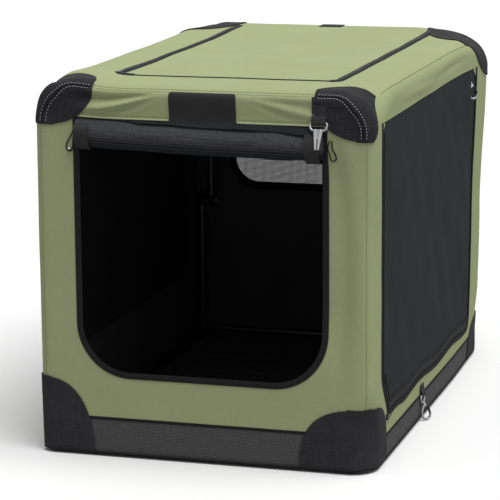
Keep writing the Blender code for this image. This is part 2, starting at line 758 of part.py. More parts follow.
def bow_bracket():
    """Moulded bracket at the rear right: a plug for the bow's end and ears for the post."""
    outline = [(UPPER_X - TUBE_RADIUS, PIVOT_Y - TUBE_RADIUS)]
    outline.append((UPPER_X + TUBE_RADIUS, PIVOT_Y - TUBE_RADIUS))
    outline += arc((BOW_X, BOW_Y), TUBE_RADIUS, -30, 135, 4)
    outline.append((UPPER_X - TUBE_RADIUS, PIVOT_Y + TUBE_RADIUS))
    piece = prism(outline, 2, PLATE_BOTTOM, PLATE_TOP)
    ears = prism(
        [(PIVOT_Y + TUBE_RADIUS, PLATE_TOP - CLEAR), (PIVOT_Y - TUBE_RADIUS, PLATE_TOP - CLEAR)]
        + arc((PIVOT_Y, TOP_PIVOT_Z), TUBE_RADIUS, 180, 360, 4),
        0, UPPER_X - TUBE_RADIUS, UPPER_X + TUBE_RADIUS)
    slot = TUBE_RADIUS - EAR_THICKNESS
    wide = 2 * TUBE_RADIUS
    cut(ears, box((UPPER_X - slot, PIVOT_Y - wide, TOP_PIVOT_Z - wide),
                  (UPPER_X + slot, PIVOT_Y + wide, PLATE_BOTTOM)))
    weld(piece, ears)
    weld(piece, disc((BOW_X, BOW_Y), TUBE_BORE - CLEAR, 2, PLATE_BOTTOM + CLEAR,
                     PLATE_TOP + SPIGOT_LENGTH, SMALL_SIDES))
    return weld(piece, hinge_pin(UPPER_X, PIVOT_Y, TOP_PIVOT_Z))


def top_rail():
    """Right top rail, with a moulded sleeve at each end cut to sit against the bow."""
    place = (TOP_RAIL_X, TOP_RAIL_Z)
    piece = disc(place, TUBE_RADIUS, 1, -BOW_Y, BOW_Y)
    for sign_y in (-1, 1):
        ends = sorted((sign_y * (BOW_Y - RAIL_SLEEVE_LENGTH), sign_y * BOW_Y))
        weld(piece, disc(place, TUBE_RADIUS + RAIL_SLEEVE_WALL, 1, *ends))
        cut(piece, sweep(bow_path(sign_y * BOW_Y), TUBE_RADIUS + CLEAR))
        past = sorted((sign_y * BOW_Y, sign_y * DEPTH))
        cut(piece, far_box(y=past))
    return piece


def make_top():
    pieces = {
        "rear_bow": sweep(bow_path(BOW_Y), TUBE_RADIUS, TUBE_BORE),
        "front_bow": sweep(bow_path(-BOW_Y), TUBE_RADIUS, TUBE_BORE),
    }
    pieces.update(two_sides("top_rail", top_rail()))
    pieces.update(four_corners("bow_bracket", bow_bracket()))
    return pieces


# Rolled front door
def door_roll():
    """The door rolled up under the doorway's head, with its lap edge and a slight sag."""
    left = -DOOR_LEFT + ROLL_END_ROOM
    right = DOOR_RIGHT - ROLL_END_ROOM
    steps, sides = 10, 16
    bm = bmesh.new()
    rings = []
    for i in range(steps + 1):
        share = i / steps
        sag = ROLL_SAG * sin(pi * share) + ROLL_FALL * share
        ring = []
        for k in range(sides):
            turn = 2 * pi * k / sides
            reach = ROLL_RADIUS - ROLL_LAP * k / (sides - 1)
            angle = turn + pi / 2
            y = ROLL_Y + reach * cos(angle)
            z = ROLL_Z - sag + reach * sin(angle)
            ring.append(bm.verts.new((left + (right - left) * share, y, z)))
        rings.append(ring)
    for first, second in zip(rings, rings[1:]):
        for k in range(sides):
            n = (k + 1) % sides
            bm.faces.new((first[k], first[n], second[n], second[k]))
    bm.faces.new(rings[0])
    bm.faces.new(rings[-1])
    return solid(bm, "roll")


# Webbing, label and hooks
def label():
    middle = LABEL_SHIFT
    low = (middle - LABEL_WIDTH / 2, HEIGHT - LABEL_DROP - LABEL_HEIGHT)
    high = (middle + LABEL_WIDTH / 2, HEIGHT - LABEL_DROP)
    face = -HALF_DEPTH - SEAM_GAP
    return prism(rounded(low, high, [LEAST_RADIUS] * 4, 3), 1, face - WEB_THICKNESS, face)


def rear_tab():
    low = HEIGHT + SEAM_GAP
    x = -REAR_TAB_SHIFT
    y = HALF_DEPTH - END_EDGE_RADIUS
    return box((x - REAR_TAB_WIDTH / 2, y - REAR_TAB_LENGTH, low),
               (x + REAR_TAB_WIDTH / 2, y, low + WEB_THICKNESS))


def turned(piece, rotation, centre=(0.0, 0.0, 0.0), shift=(0.0, 0.0, 0.0)):
    """Turn a piece about a centre and then shift it."""
    bm = bmesh.new()
    bm.from_mesh(piece.data)
    bpy.data.objects.remove(piece, do_unlink=True)
    bmesh.ops.rotate(bm, cent=centre, matrix=rotation, verts=bm.verts)
    bmesh.ops.translate(bm, vec=shift, verts=bm.verts)
    return solid(bm, "turned")


FACING_FRONT = Matrix.Identity(3)
FACING_RIGHT = Matrix.Rotation(pi / 2, 3, "Z")


LOOP_BORE = HOOK_WIRE + CLEAR
LOOP_RADIUS = LOOP_BORE + LOOP_WALL


def strap(top, length, face):
    """Webbing tab on a front face at y = face, with a loop at its lower end, at x = 0."""
    bar_y = face - LOOP_RADIUS
    bar_z = top - length
    half = STRAP_WIDTH / 2
    piece = disc((bar_y, bar_z), LOOP_RADIUS, 0, -half, half, SMALL_SIDES)
    weld(piece, box((-half, face - WEB_THICKNESS, bar_z), (half, face, top)))
    cut(piece, disc((bar_y, bar_z), LOOP_BORE, 0, -STRAP_WIDTH, STRAP_WIDTH, SMALL_SIDES))
    return piece


def snap_hook(top, length, face, lean):
    """Snap hook that hangs from the strap's loop: a bar, a slotted ring, a shank and an eye.

    It leans out by an angle in degrees where something behind it pushes it forward.
    """
    bar_y = face - LOOP_RADIUS
    bar_z = top - length
    half = HOOK_BAR_WIDTH / 2 + HOOK_WIRE
    depth = (bar_y - HOOK_THICKNESS / 2, bar_y + HOOK_THICKNESS / 2)
    ring_low = bar_z - HOOK_RING_HEIGHT - LOOP_RADIUS
    shank_low = ring_low - HOOK_SHANK_LENGTH
    eye_z = shank_low - HOOK_EYE_RADIUS / 2
    outline = [(-half, bar_z), (-half, ring_low), (-HOOK_SHANK_WIDTH / 2, ring_low - HOOK_WIRE)]
    outline += [(-HOOK_EYE_RADIUS / 2, shank_low), (HOOK_EYE_RADIUS / 2, shank_low)]
    outline += [(HOOK_SHANK_WIDTH / 2, ring_low - HOOK_WIRE), (half, ring_low), (half, bar_z)]
    piece = prism(outline, 1, *depth)
    inside = HOOK_BAR_WIDTH / 2
    cut(piece, box((-inside, bar_y - OVERRUN, ring_low + HOOK_WIRE),
                   (inside, bar_y + OVERRUN, bar_z + OVERRUN)))
    weld(piece, disc((bar_y, bar_z), HOOK_WIRE, 0, -half, half, SMALL_SIDES))
    weld(piece, disc((0.0, eye_z), HOOK_EYE_RADIUS, 1, *depth))
    cut(piece, disc((0.0, eye_z), HOOK_EYE_BORE, 1, bar_y - OVERRUN, bar_y + OVERRUN))
    cut(piece, box((0.0, bar_y - OVERRUN, eye_z - HOOK_MOUTH / 2),
                   (2 * HOOK_EYE_RADIUS, bar_y + OVERRUN, eye_z + HOOK_MOUTH / 2)))
    bar = Vector((0, bar_y, bar_z))
    return turned(piece, Matrix.Rotation(radians(-lean), 3, "X"), bar)


FRONT_FACE = -HALF_DEPTH - SEAM_GAP - PATCH_THICKNESS - SEAM_GAP
SIDE_FACE = -HALF_WIDTH - SEAM_GAP
HOOKS = {
    "front_hook": (HEIGHT - FRONT_STRAP_DROP, FRONT_STRAP_LENGTH, FRONT_FACE,
                   FRONT_STRAP_X, False, FRONT_HOOK_LEAN),
    "side_hook": (HEIGHT - SIDE_STRAP_DROP, SIDE_STRAP_LENGTH, SIDE_FACE, SIDE_STRAP_Y, True, 0),
    "base_hook": (BAND_HEIGHT - BASE_STRAP_DROP, BASE_STRAP_LENGTH, SIDE_FACE,
                  -BASE_STRAP_Y, True, 0),
}


def make_hooks():
    pieces = {}
    for name, (top, length, face, place, on_side, lean) in HOOKS.items():
        facing = FACING_RIGHT if on_side else FACING_FRONT
        shift = (0.0, place, 0.0) if on_side else (place, 0.0, 0.0)
        pieces[f"{name}_strap"] = turned(strap(top, length, face), facing, shift=shift)
        pieces[name] = turned(snap_hook(top, length, face, lean), facing, shift=shift)
    return pieces


# Zip sliders
def slider():
    """Slider with its pull, lying on a face at z = 0 and pulled along +X."""
    half = SLIDER_WIDTH / 2
    nose = SLIDER_LENGTH / 2
    low = SLIDER_FLOAT
    shoulder = nose * SLIDER_NOSE_SHARE
    piece = prism([(-nose, -half), (shoulder, -half), (nose, 0.0), (shoulder, half),
                   (-nose, half)], 2, low, low + SLIDER_THICKNESS)
    pull_low = low + SLIDER_THICKNESS - PULL_THICKNESS
    corner = PULL_WIDTH * PULL_CORNER_SHARE
    pull = rounded((0.0, -PULL_WIDTH / 2), (PULL_LENGTH, PULL_WIDTH / 2), [corner] * 4, 2)
    return weld(piece, prism(pull, 2, pull_low, pull_low + PULL_THICKNESS))


# Each door's slider rides on the half of its zip that is sewn to the cover, clear of the door
TOP_SLIDER_PLACE = (-TOP_LEFT - SLIDER_WIDTH / 2 - CLEAR,
                    -TOP_FRONT + TOP_RADIUS + SLIDER_LENGTH / 2, HEIGHT)
SIDE_SLIDER_PLACE = (HALF_WIDTH, -SIDE_FRONT + SIDE_RADIUS + SLIDER_LENGTH / 2,
                     SIDE_BOTTOM - SLIDER_WIDTH / 2 - CLEAR)


def make_sliders():
    """The sliders' pulls run back along the top, back along the side and down the front."""
    along_y = Matrix.Rotation(pi / 2, 3, "Z")
    on_side = Matrix(((0, 0, 1), (1, 0, 0), (0, 1, 0)))
    hanging = Matrix(((0, 1, 0), (0, 0, -1), (-1, 0, 0)))
    pieces = {
        "top_slider": turned(slider(), along_y, shift=TOP_SLIDER_PLACE),
        "side_slider": turned(slider(), on_side, shift=SIDE_SLIDER_PLACE),
    }
    for name, x in (("left", -DOOR_LEFT - SLIDER_WIDTH), ("right", DOOR_RIGHT + SLIDER_WIDTH)):
        place = (x, -HALF_DEPTH, DOOR_HEAD - FRONT_PULL_DROP)
        pieces[f"front_{name}_zip_pull"] = turned(slider(), hanging, shift=place)
    return pieces


# Bodies: the pieces that move together, and the point on each joint's axis
ORIGIN = (0.0, 0.0, 0.0)


def strap_bar(name):
    top, length, face, place, on_side, _ = HOOKS[name]
    across = face - LOOP_RADIUS
    if on_side:
        return (-across, place, top - length)
    return (place, across, top - length)


def at_sides(end, name):
    return [f"{end}_left_{name}", f"{end}_right_{name}"]


def at_corners(name):
    return at_sides("front", name) + at_sides("rear", name)


def bodies():
    """Body name: its parent body, the joint's point and its pieces."""
    rows = {
        "base": (None, ORIGIN, [
            "bottom_cover", "floor_pad", "front_base_rail", "rear_base_rail", "left_base_rail",
            "right_base_rail", "base_hook_strap", "front_wall", "rear_wall", "left_wall",
            "right_wall", "rear_window", "left_window"] + at_corners("base_corner")
            + at_corners("boot")),
        "front_lower": ("base", (0.0, -PIVOT_Y, BASE_PIVOT_Z), at_sides("front", "lower_post")),
        "front_upper": ("front_lower", (0.0, -PIVOT_Y, KNEE_Z), at_sides("front", "upper_post")),
        "rear_lower": ("base", (0.0, PIVOT_Y, BASE_PIVOT_Z), at_sides("rear", "lower_post")),
        "rear_upper": ("rear_lower", (0.0, PIVOT_Y, KNEE_Z), at_sides("rear", "upper_post")),
        "top": ("front_upper", (0.0, -PIVOT_Y, TOP_PIVOT_Z), [
            "front_bow", "rear_bow", "left_top_rail", "right_top_rail", "roof_panel",
            "front_door_roll", "label", "rear_tab", "front_left_zip_pull",
            "front_right_zip_pull", "front_hook_strap", "side_hook_strap"]
            + at_corners("bow_bracket") + at_corners("cap")),
        "top_door": ("top", (0.0, TOP_HINGE_Y, HEIGHT), ["top_door"]),
        "side_door": ("top", (HALF_WIDTH, 0.0, SIDE_HINGE_Z), ["side_door"]),
        "top_slider": ("top", TOP_SLIDER_PLACE, ["top_slider"]),
        "side_slider": ("base", SIDE_SLIDER_PLACE, ["side_slider"]),
        "front_hook": ("top", strap_bar("front_hook"), ["front_hook"]),
        "side_hook": ("top", strap_bar("side_hook"), ["side_hook"]),
        "base_hook": ("base", strap_bar("base_hook"), ["base_hook"]),
    }
    face = UPPER_X - TUBE_RADIUS
    for end, sign_y in (("front", -1), ("rear", 1)):
        for side, sign_x in (("left", -1), ("right", 1)):
            name = f"{end}_{side}_knee_button"
            place = (sign_x * face, sign_y * PIVOT_Y, KNEE_Z)
            rows[name] = (f"{end}_upper", place, [name])
    return rows


# Finishes
def finishes():
    canvas = material("green_canvas", (0.40, 0.44, 0.26), 0.9)
    patch_cloth = material("black_patch", (0.03, 0.03, 0.033), 0.8)
    band = material("grey_band", (0.07, 0.07, 0.08), 0.85)
    panel = material("charcoal_panel", (0.06, 0.06, 0.07), 0.8)
    net = material("black_mesh", (0.05, 0.05, 0.055), 0.9)
    pad = material("pad_cloth", (0.22, 0.22, 0.22), 0.95)
    tube = material("black_tube", (0.02, 0.02, 0.022), 0.4, 0.6)
    plastic = material("black_plastic", (0.03, 0.03, 0.03), 0.5)
    webbing = material("black_webbing", (0.025, 0.025, 0.028), 0.85)
    steel = material("steel", (0.55, 0.55, 0.57), 0.35, 1.0)
    button = material("grey_button", (0.30, 0.30, 0.31), 0.5)
    looks = {
        canvas: ["roof_panel", "front_wall", "rear_wall", "left_wall", "right_wall", "top_door"],
        band: ["bottom_cover"],
        panel: ["side_door", "front_door_roll"],
        net: ["rear_window", "left_window"],
        pad: ["floor_pad"],
        steel: ["front_hook", "side_hook", "base_hook", "top_slider", "side_slider",
                "front_left_zip_pull", "front_right_zip_pull"],
        webbing: ["label", "rear_tab"],
    }
    return looks, {"_cap": patch_cloth, "_boot": patch_cloth, "_corner": plastic,
                   "_rail": tube, "_bow": tube, "_post": tube, "_bracket": plastic,
                   "_button": button, "_strap": webbing}


def finish_for(name, looks, endings):
    for finish, names in looks.items():
        if name in names:
            return finish
    for ending, finish in endings.items():
        if name.endswith(ending):
            return finish
    raise ValueError(name)


ROUND_ANGLE = radians(40)


def assemble(pieces):
    looks, endings = finishes()
    holders = {}
    for body, (parent, place, names) in bodies().items():
        holder = bpy.data.objects.new(f"{body}_joint", None)
        bpy.context.scene.collection.objects.link(holder)
        if parent:
            above, above_place = holders[parent]
            holder.parent = above
            holder.location = Vector(place) - Vector(above_place)
        else:
            holder.location = place
        holders[body] = (holder, place)
        for name in names:
            piece = pieces.pop(name)
            piece.name = name
            piece.data.name = name
            piece.data.transform(Matrix.Translation(-Vector(place)))
            piece.parent = holder
            piece.data.materials.clear()
            piece.data.materials.append(finish_for(name, looks, endings))
            piece.data.shade_smooth()
            piece.data.set_sharp_from_angle(angle=ROUND_ANGLE)
    if pieces:
        raise ValueError(f"pieces left over: {sorted(pieces)}")


def main():
    clear_scene()
    pieces = make_cover()
    pieces.update(make_patches())
    pieces.update(make_base())
    pieces.update(make_posts())
    pieces.update(make_top())
    pieces["front_door_roll"] = door_roll()
    pieces["label"] = label()
    pieces["rear_tab"] = rear_tab()
    pieces.update(make_hooks())
    pieces.update(make_sliders())
    assemble(pieces)


main()
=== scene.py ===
from math import cos, pi, radians, sin

import bpy
import numpy as np
from mathutils import Matrix, Vector


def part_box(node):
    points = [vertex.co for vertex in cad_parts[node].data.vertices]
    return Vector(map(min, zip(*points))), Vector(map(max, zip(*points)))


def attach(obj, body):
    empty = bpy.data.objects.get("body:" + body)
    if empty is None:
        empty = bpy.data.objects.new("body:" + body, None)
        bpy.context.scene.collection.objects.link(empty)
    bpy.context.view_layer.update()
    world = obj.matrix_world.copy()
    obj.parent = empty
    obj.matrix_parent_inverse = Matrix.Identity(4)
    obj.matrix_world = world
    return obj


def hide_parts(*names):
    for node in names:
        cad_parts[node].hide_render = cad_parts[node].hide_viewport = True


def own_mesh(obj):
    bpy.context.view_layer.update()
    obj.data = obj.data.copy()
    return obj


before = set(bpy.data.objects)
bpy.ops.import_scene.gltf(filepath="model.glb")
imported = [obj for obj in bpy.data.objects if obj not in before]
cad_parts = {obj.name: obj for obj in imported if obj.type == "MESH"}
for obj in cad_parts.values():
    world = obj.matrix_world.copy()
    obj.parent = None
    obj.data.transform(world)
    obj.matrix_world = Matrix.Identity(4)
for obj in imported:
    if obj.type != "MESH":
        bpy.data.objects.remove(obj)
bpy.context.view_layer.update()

MM = 0.001

# Crate
HALF_WIDTH = 292 * MM
HALF_DEPTH = 457 * MM
HEIGHT = 645 * MM
SKIN = 2.2 * MM
EDGE_RADIUS = 20 * MM
LEFT_BASE_RADIUS, RIGHT_BASE_RADIUS = 22 * MM, 45 * MM
BOW_RADIUS = 66 * MM
ROOF_RADIUS = 28 * MM
FOOT_RADIUS = 12 * MM
BAND_TOP = 69 * MM
SKIRT_EDGE = 588 * MM
WALL_LOW = 69.3 * MM
WALL_HIGH = 587.7 * MM
WALL_END = 437 * MM
SIDE_LOW = 48.3 * MM  # the green cloth's lower edge on the right
SIDE_POINT_SHIFT = 45 * MM  # how far the side cloth's low front corner is drawn back
CLOTH_STEP = 7 * MM
SEWN = 0.5 * MM  # points this close are one


# Openings on their own side of the crate: low corner, high corner and corner radii
def opening(low, high, radii):
    return tuple(tuple(value * MM for value in part) for part in (low, high, radii))


DOORWAY = opening((-226, 143), (212, 590), (90, 90, 8, 8))
SIDE_DOOR = opening((-398, 84), (345, 586.5), (9, 24, 30, 30))
TOP_DOOR = opening((-191, -333), (200, 402), (12,) * 4)
REAR_WINDOW = opening((-230, 313), (230, 566), (58,) * 4)
LEFT_WINDOW = opening((-390, 150), (340, 570), (40,) * 4)
LABEL = opening((-57, 584), (59, 637), (6,) * 4)
REAR_TAB = opening((-29.5, 405), (15.5, 437), (2,) * 4)
PLAN = ((-HALF_WIDTH, -HALF_DEPTH), (HALF_WIDTH, HALF_DEPTH))

# Fold of the frame: where each soft piece gathers and how much of its height stays; the script
# folds nothing, it only gives these pieces a mesh of their own
WALL_FOLD = {"anchor": (0, 0, WALL_LOW), "keep": 0.0944}
BOOT_FOLD = {"anchor": (0, 0, 6 * MM), "keep": 0.4}
ROLL_FOLD = {"anchor": (0, 0, 589 * MM), "keep": 0.35}
SIDE_DOOR_FOLD = {"anchor": (0, 0, 586 * MM), "keep": 0.06}
PULL_FOLD = {"anchor": (0, 0, 564 * MM), "keep": 0.4}


# Camera, fitted to the photograph: its place, its turns in degrees and its lens in millimetres
CAMERA_PLACE = (1.1986, -4.2024, 1.1882)
CAMERA_TURNS = (16.618, -11.731, -0.442)
CAMERA_LENS, CAMERA_SENSOR = 172.84, 36


def set_camera():
    yaw, pitch, roll = (radians(turn) for turn in CAMERA_TURNS)
    data = bpy.data.cameras.new("camera")
    data.lens, data.sensor_width = CAMERA_LENS, CAMERA_SENSOR
    ahead = Vector((-sin(yaw) * cos(pitch), cos(yaw) * cos(pitch), sin(pitch)))
    level = Vector((cos(yaw), sin(yaw), 0))
    upright = level.cross(ahead)
    right = cos(roll) * level + sin(roll) * upright
    up = -sin(roll) * level + cos(roll) * upright
    turn = Matrix((right, up, -ahead)).transposed().to_4x4()
    camera = bpy.data.objects.new("camera", data)
    camera.matrix_world = Matrix.Translation(CAMERA_PLACE) @ turn
    bpy.context.scene.collection.objects.link(camera)
    bpy.context.scene.camera = camera


# Form of the cover
def ease(value):
    value = np.clip(value, 0, 1)
    return value * value * (3 - 2 * value)


def ramp(value, start, reach):
    """From 0 at start to 1 past its reach, both in millimetres; a reach below 0 goes downwards."""
    return ease((value - start * MM) / (reach * MM))


def rounded_edge(side, end, radius):
    """Distance to two faces that meet in a rounded edge, from the distance to each."""
    side, end = side + radius, end + radius
    outside = np.hypot(np.maximum(side, 0), np.maximum(end, 0))
    return np.minimum(np.maximum(side, end), 0) + outside - radius


def rounded_distance(across, along, half_across, half_along, radius):
    """Distance to a rounded rectangle, negative inside it."""
    return rounded_edge(np.abs(across) - half_across, np.abs(along) - half_along, radius)


def cover_distance(points):
    """Distance of points from the cover's outer face, negative inside it."""
    x, y, z = points.T
    past_end = np.abs(y) - HALF_DEPTH
    corner = BOW_RADIUS + ramp(past_end, -25, -125) * (ROOF_RADIUS - BOW_RADIUS)
    section = rounded_distance(x, z, HALF_WIDTH, HEIGHT, corner)
    low = 1 - ease((z - BAND_TOP) / (80 * MM))
    rim = EDGE_RADIUS + low * (np.where(x < 0, LEFT_BASE_RADIUS, RIGHT_BASE_RADIUS) - EDGE_RADIUS)
    return rounded_edge(rounded_edge(section, past_end, rim), -z, FOOT_RADIUS)


def cover_normal(points):
    slope = np.zeros_like(points)
    for axis, nudge in enumerate(np.eye(3) * 0.2 * MM):
        slope[:, axis] = cover_distance(points + nudge) - cover_distance(points - nudge)
    length = np.linalg.norm(slope, axis=1, keepdims=True)
    return slope / np.maximum(length, 1e-12)


def lay(points, raised=0.0):
    """Move points onto the cover, raised above it by this much."""
    points = np.array(points, float)
    for _ in range(5):
        gap = cover_distance(points) - raised
        points = points - gap[:, None] * cover_normal(points)
    return points


# Each side of the crate's box: its own two axes, the axis across it and its place on that
SIDES = {"front": (0, 2, 1, -HALF_DEPTH), "rear": (0, 2, 1, HALF_DEPTH),
         "left": (1, 2, 0, -HALF_WIDTH), "right": (1, 2, 0, HALF_WIDTH),
         "top": (0, 1, 2, HEIGHT), "bottom": (0, 1, 2, 0.0)}


def on_side(side, flat):
    """Points on one side of the crate's box, from that side's own two axes."""
    *axes, _, level = SIDES[side]
    points = np.full((len(flat), 3), level)
    points[:, axes] = flat
    return points


def ripples(points, seed, length, count=7):
    """A smooth uneven field over the cloth, from -1 to 1."""
    pick = np.random.default_rng(seed)
    total = np.zeros(len(points))
    for _ in range(count):
        way = pick.normal(size=3)
        way *= 2 * pi / (length * pick.uniform(0.7, 1.6) * np.linalg.norm(way))
        total += np.sin(points @ way + pick.uniform(0, 2 * pi))
    return total / count * 1.6


# Mesh work
def vertices(piece):
    values = np.empty(len(piece.data.vertices) * 3)
    piece.data.vertices.foreach_get("co", values)
    return values.reshape(-1, 3)


def set_vertices(piece, points):
    piece.data.vertices.foreach_set("co", np.ascontiguousarray(points, float).ravel())
    piece.data.update()
    return piece


def only(piece):
    bpy.ops.object.select_all(action="DESELECT")
    piece.select_set(True)
    bpy.context.view_layer.objects.active = piece


def add(name, data):
    """A new object in the scene, the only one selected."""
    piece = bpy.data.objects.new(name, data)
    bpy.context.scene.collection.objects.link(piece)
    only(piece)
    return piece


def from_faces(name, points, faces):
    mesh = bpy.data.meshes.new(name)
    mesh.from_pydata(points.tolist(), [], faces)
    return add(name, mesh)


def edit(piece, chosen, operator, **settings):
    """Run a mesh operator on a piece's chosen faces, or on all of it where chosen is None."""
    only(piece)
    bpy.ops.object.mode_set(mode="EDIT")
    bpy.ops.mesh.select_all(action="SELECT" if chosen is None else "DESELECT")
    if chosen is not None:
        bpy.ops.object.mode_set(mode="OBJECT")
        piece.data.polygons.foreach_set("select", chosen)
        bpy.ops.object.mode_set(mode="EDIT")
    operator(**settings)
    bpy.ops.object.mode_set(mode="OBJECT")
    return piece


def centres(piece):
    return np.array([face.center for face in piece.data.polygons])


def primitive(name, operator, **settings):
    """A simple mesh, the only one selected."""
    bpy.ops.object.select_all(action="DESELECT")
    operator(**settings)
    piece = bpy.context.object
    piece.name = name
    return piece


def sphere(name, **settings):
    """A sphere with its faces in a set order, as Blender's own changes from run to run."""
    piece = primitive(name, bpy.ops.mesh.primitive_uv_sphere_add, **settings)
    points = vertices(piece).tolist()
    faces = sorted(list(face.vertices) for face in piece.data.polygons)
    piece.data.clear_geometry()
    piece.data.from_pydata(points, [], faces)
    return piece


def grid(name, cells_across, cells_along):
    """A grid of cloth whose points are given by their shares across and along it."""
    piece = primitive(name, bpy.ops.mesh.primitive_grid_add, x_subdivisions=cells_across,
                      y_subdivisions=cells_along, size=1)
    return piece, vertices(piece)[:, :2] + 0.5


def face_out(piece):
    """Turn a sheet's faces so that they point away from the crate's middle."""
    ways = np.array([face.normal for face in piece.data.polygons])
    if np.sum(ways * cover_normal(centres(piece))) < 0:
        piece.data.flip_normals()
    return piece


def cloth(name, side, low, high, step=CLOTH_STEP):
    """A flat panel on one side of the crate's box."""
    low, high = np.array(low), np.array(high)
    cells = np.maximum(np.round((high - low) / np.array(step)), 1).astype(int)
    piece, share = grid(name, int(cells[0]), int(cells[1]))
    set_vertices(piece, on_side(side, low + share * (high - low)))
    return face_out(piece)


def join(name, pieces, merge=None):
    only(pieces[0])
    for piece in pieces[1:]:
        piece.select_set(True)
    if len(pieces) > 1:
        bpy.ops.object.join()
    piece = bpy.context.object
    piece.name = name
    return edit(piece, None, bpy.ops.mesh.remove_doubles, threshold=merge) if merge else piece


def outline_distance(flat, outline):
    """Distance to a rounded rectangle with four radii, negative inside it."""
    low, high, radii = outline
    middle = (np.array(low) + high) / 2
    half = (np.array(high) - low) / 2
    first, second = (flat - middle).T
    picks = np.where(second < 0, np.where(first < 0, 0, 1), np.where(first < 0, 3, 2))
    return rounded_distance(first, second, half[0], half[1], np.array(radii)[picks])


def edge_points(piece, gone):
    """The points between the faces that go and those that stay."""
    lost, kept = set(), set()
    for face, out in zip(piece.data.polygons, gone):
        (lost if out else kept).update(face.vertices)
    return sorted(lost & kept)


def cut(piece, side, outline, gone):
    """Take faces out of a panel and bring the edge that they leave to an outline."""
    axes, small = SIDES[side][:2], 0.1 * MM
    points, edge = vertices(piece), edge_points(piece, gone)
    for _ in range(3):
        flat = points[edge][:, axes]
        gap = outline_distance(flat, outline)
        for axis, nudge in zip(axes, np.eye(2) * small):
            after, before = (outline_distance(flat + way, outline) for way in (nudge, -nudge))
            points[edge, axis] -= gap * (after - before) / (2 * small)
    return edit(set_vertices(piece, points), gone, bpy.ops.mesh.delete, type="FACE")


def open_up(piece, side, outline):
    """Take the cloth out of an opening in one side."""
    *axes, across, level = SIDES[side]
    middles = centres(piece)
    there = np.abs(middles[:, across] - level) < 1 * MM
    return cut(piece, side, outline, there & (outline_distance(middles[:, axes], outline) < 0))


def panel(name, side, outline, step=CLOTH_STEP):
    """A flat panel with a rounded outline."""
    piece = cloth(name, side, outline[0], outline[1], step)
    gone = outline_distance(centres(piece)[:, SIDES[side][:2]], outline) > 0
    return cut(piece, side, outline, gone)


def apply(piece, kind, **settings):
    only(piece)
    change = piece.modifiers.new("change", kind)
    for name, value in settings.items():
        setattr(change, name, value)
    bpy.ops.object.modifier_apply(modifier=change.name)
    return piece


def thicken(piece, thickness=SKIN, lined=False):
    """Give a sheet its thickness, inwards; a lined one has its lining as a second finish."""
    return apply(piece, "SOLIDIFY", thickness=thickness, offset=-1, use_quality_normals=True,
                 material_offset=int(lined))


def smooth(piece, angle=40):
    only(piece)
    bpy.ops.object.shade_smooth_by_angle(angle=radians(angle))
    return piece


def dress(piece, *covers):
    piece.data.materials.clear()
    for cover in covers:
        piece.data.materials.append(cover)
    return piece


def ride(piece, body, nodes=(), fold=None, cover=None):
    """Fix a finished piece to its body, in place of the CAD nodes it stands for."""
    if cover:
        dress(piece, cover)
    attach(piece, body)
    if nodes:
        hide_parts(*nodes)
    if fold:
        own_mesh(piece)
    return piece


# Lines on the cover
def corner_arc(centre, radius, start, step=4 * MM):
    count = max(3, int(radius * pi / 2 / step))
    turns = np.radians(start + 90 * np.arange(count + 1) / count)
    return np.stack([centre[0] + radius * np.cos(turns), centre[1] + radius * np.sin(turns)], 1)


def outline_path(outline, grow=0.0):
    """Points round an opening, from its low left corner and back to it."""
    (x0, z0), (x1, z1), radii = outline
    a, b, c, d = (max(radius + grow, 1 * MM) for radius in radii)
    x0, z0, x1, z1 = x0 - grow, z0 - grow, x1 + grow, z1 + grow
    corners = ((x0 + a, z0 + a), (x1 - b, z0 + b), (x1 - c, z1 - c), (x0 + d, z1 - d))
    runs = [corner_arc(middle, radius, start)
            for middle, radius, start in zip(corners, (a, b, c, d), (180, 270, 0, 90))]
    return np.concatenate(runs + [runs[0][:1]])


def spaced(path, step):
    """The same path with points an even step apart."""
    path = np.asarray(path, float)
    lengths = np.linalg.norm(np.diff(path, axis=0), axis=1)
    keep = np.concatenate([[True], lengths > 1e-7])
    path, lengths = path[keep], lengths[lengths > 1e-7]
    run = np.concatenate([[0], np.cumsum(lengths)])
    count = max(1, int(round(run[-1] / step)))
    places = np.linspace(0, run[-1], count + 1)
    return np.stack([np.interp(places, run, path[:, i]) for i in range(path.shape[1])], 1)


def directions(path):
    ways = np.gradient(path, axis=0)
    if np.linalg.norm(path[0] - path[-1]) < 1e-6:
        ways[0] = ways[-1] = path[1] - path[-2]
    return ways / np.linalg.norm(ways, axis=1, keepdims=True)


def tape(name, path, width, raised, thickness=0.9 * MM, crown=0.0):
    """A flat tape sewn along a path on the crate's box; width may change along it."""
    path = spaced(path, 6 * MM)
    width = np.interp(np.linspace(0, 1, len(path)), np.linspace(0, 1, np.size(width)),
                      np.atleast_1d(width))
    across = np.cross(cover_normal(lay(path)), directions(path))
    piece, share = grid(name, len(path) - 1, 4)
    row = np.round(share[:, 0] * (len(path) - 1)).astype(int)
    offset = (share[:, 1] - 0.5)[:, None] * width[row][:, None]
    lift = raised + crown * (1 - (2 * share[:, 1] - 1) ** 2)
    set_vertices(piece, settle(path[row] + across[row] * offset, lift))
    face_out(join(name, [piece], merge=0.05 * MM))
    return smooth(thicken(piece, thickness))


def tube(name, path, radius, sides=2, closed=False):
    """A round cord or wire through the points of a path; its radius may change along it."""
    curve = bpy.data.curves.new(name, "CURVE")
    curve.dimensions = "3D"
    spline = curve.splines.new("POLY")
    path = np.asarray(path, float)
    spline.points.add(len(path) - 1)
    spline.points.foreach_set("co", np.concatenate([path, np.ones((len(path), 1))], 1).ravel())
    spline.use_cyclic_u = closed
    spline.points.foreach_set("radius", np.broadcast_to(radius, len(path)).astype(np.float32))
    curve.bevel_depth = 1.0
    curve.bevel_resolution = sides
    curve.use_fill_caps = not closed
    add(name, curve)
    bpy.ops.object.convert(target="MESH")
    return smooth(bpy.context.object, 60)


def piping(name, path, radius, raised=1 * MM):
    return tube(name, settle(spaced(path, 5 * MM), raised), radius)


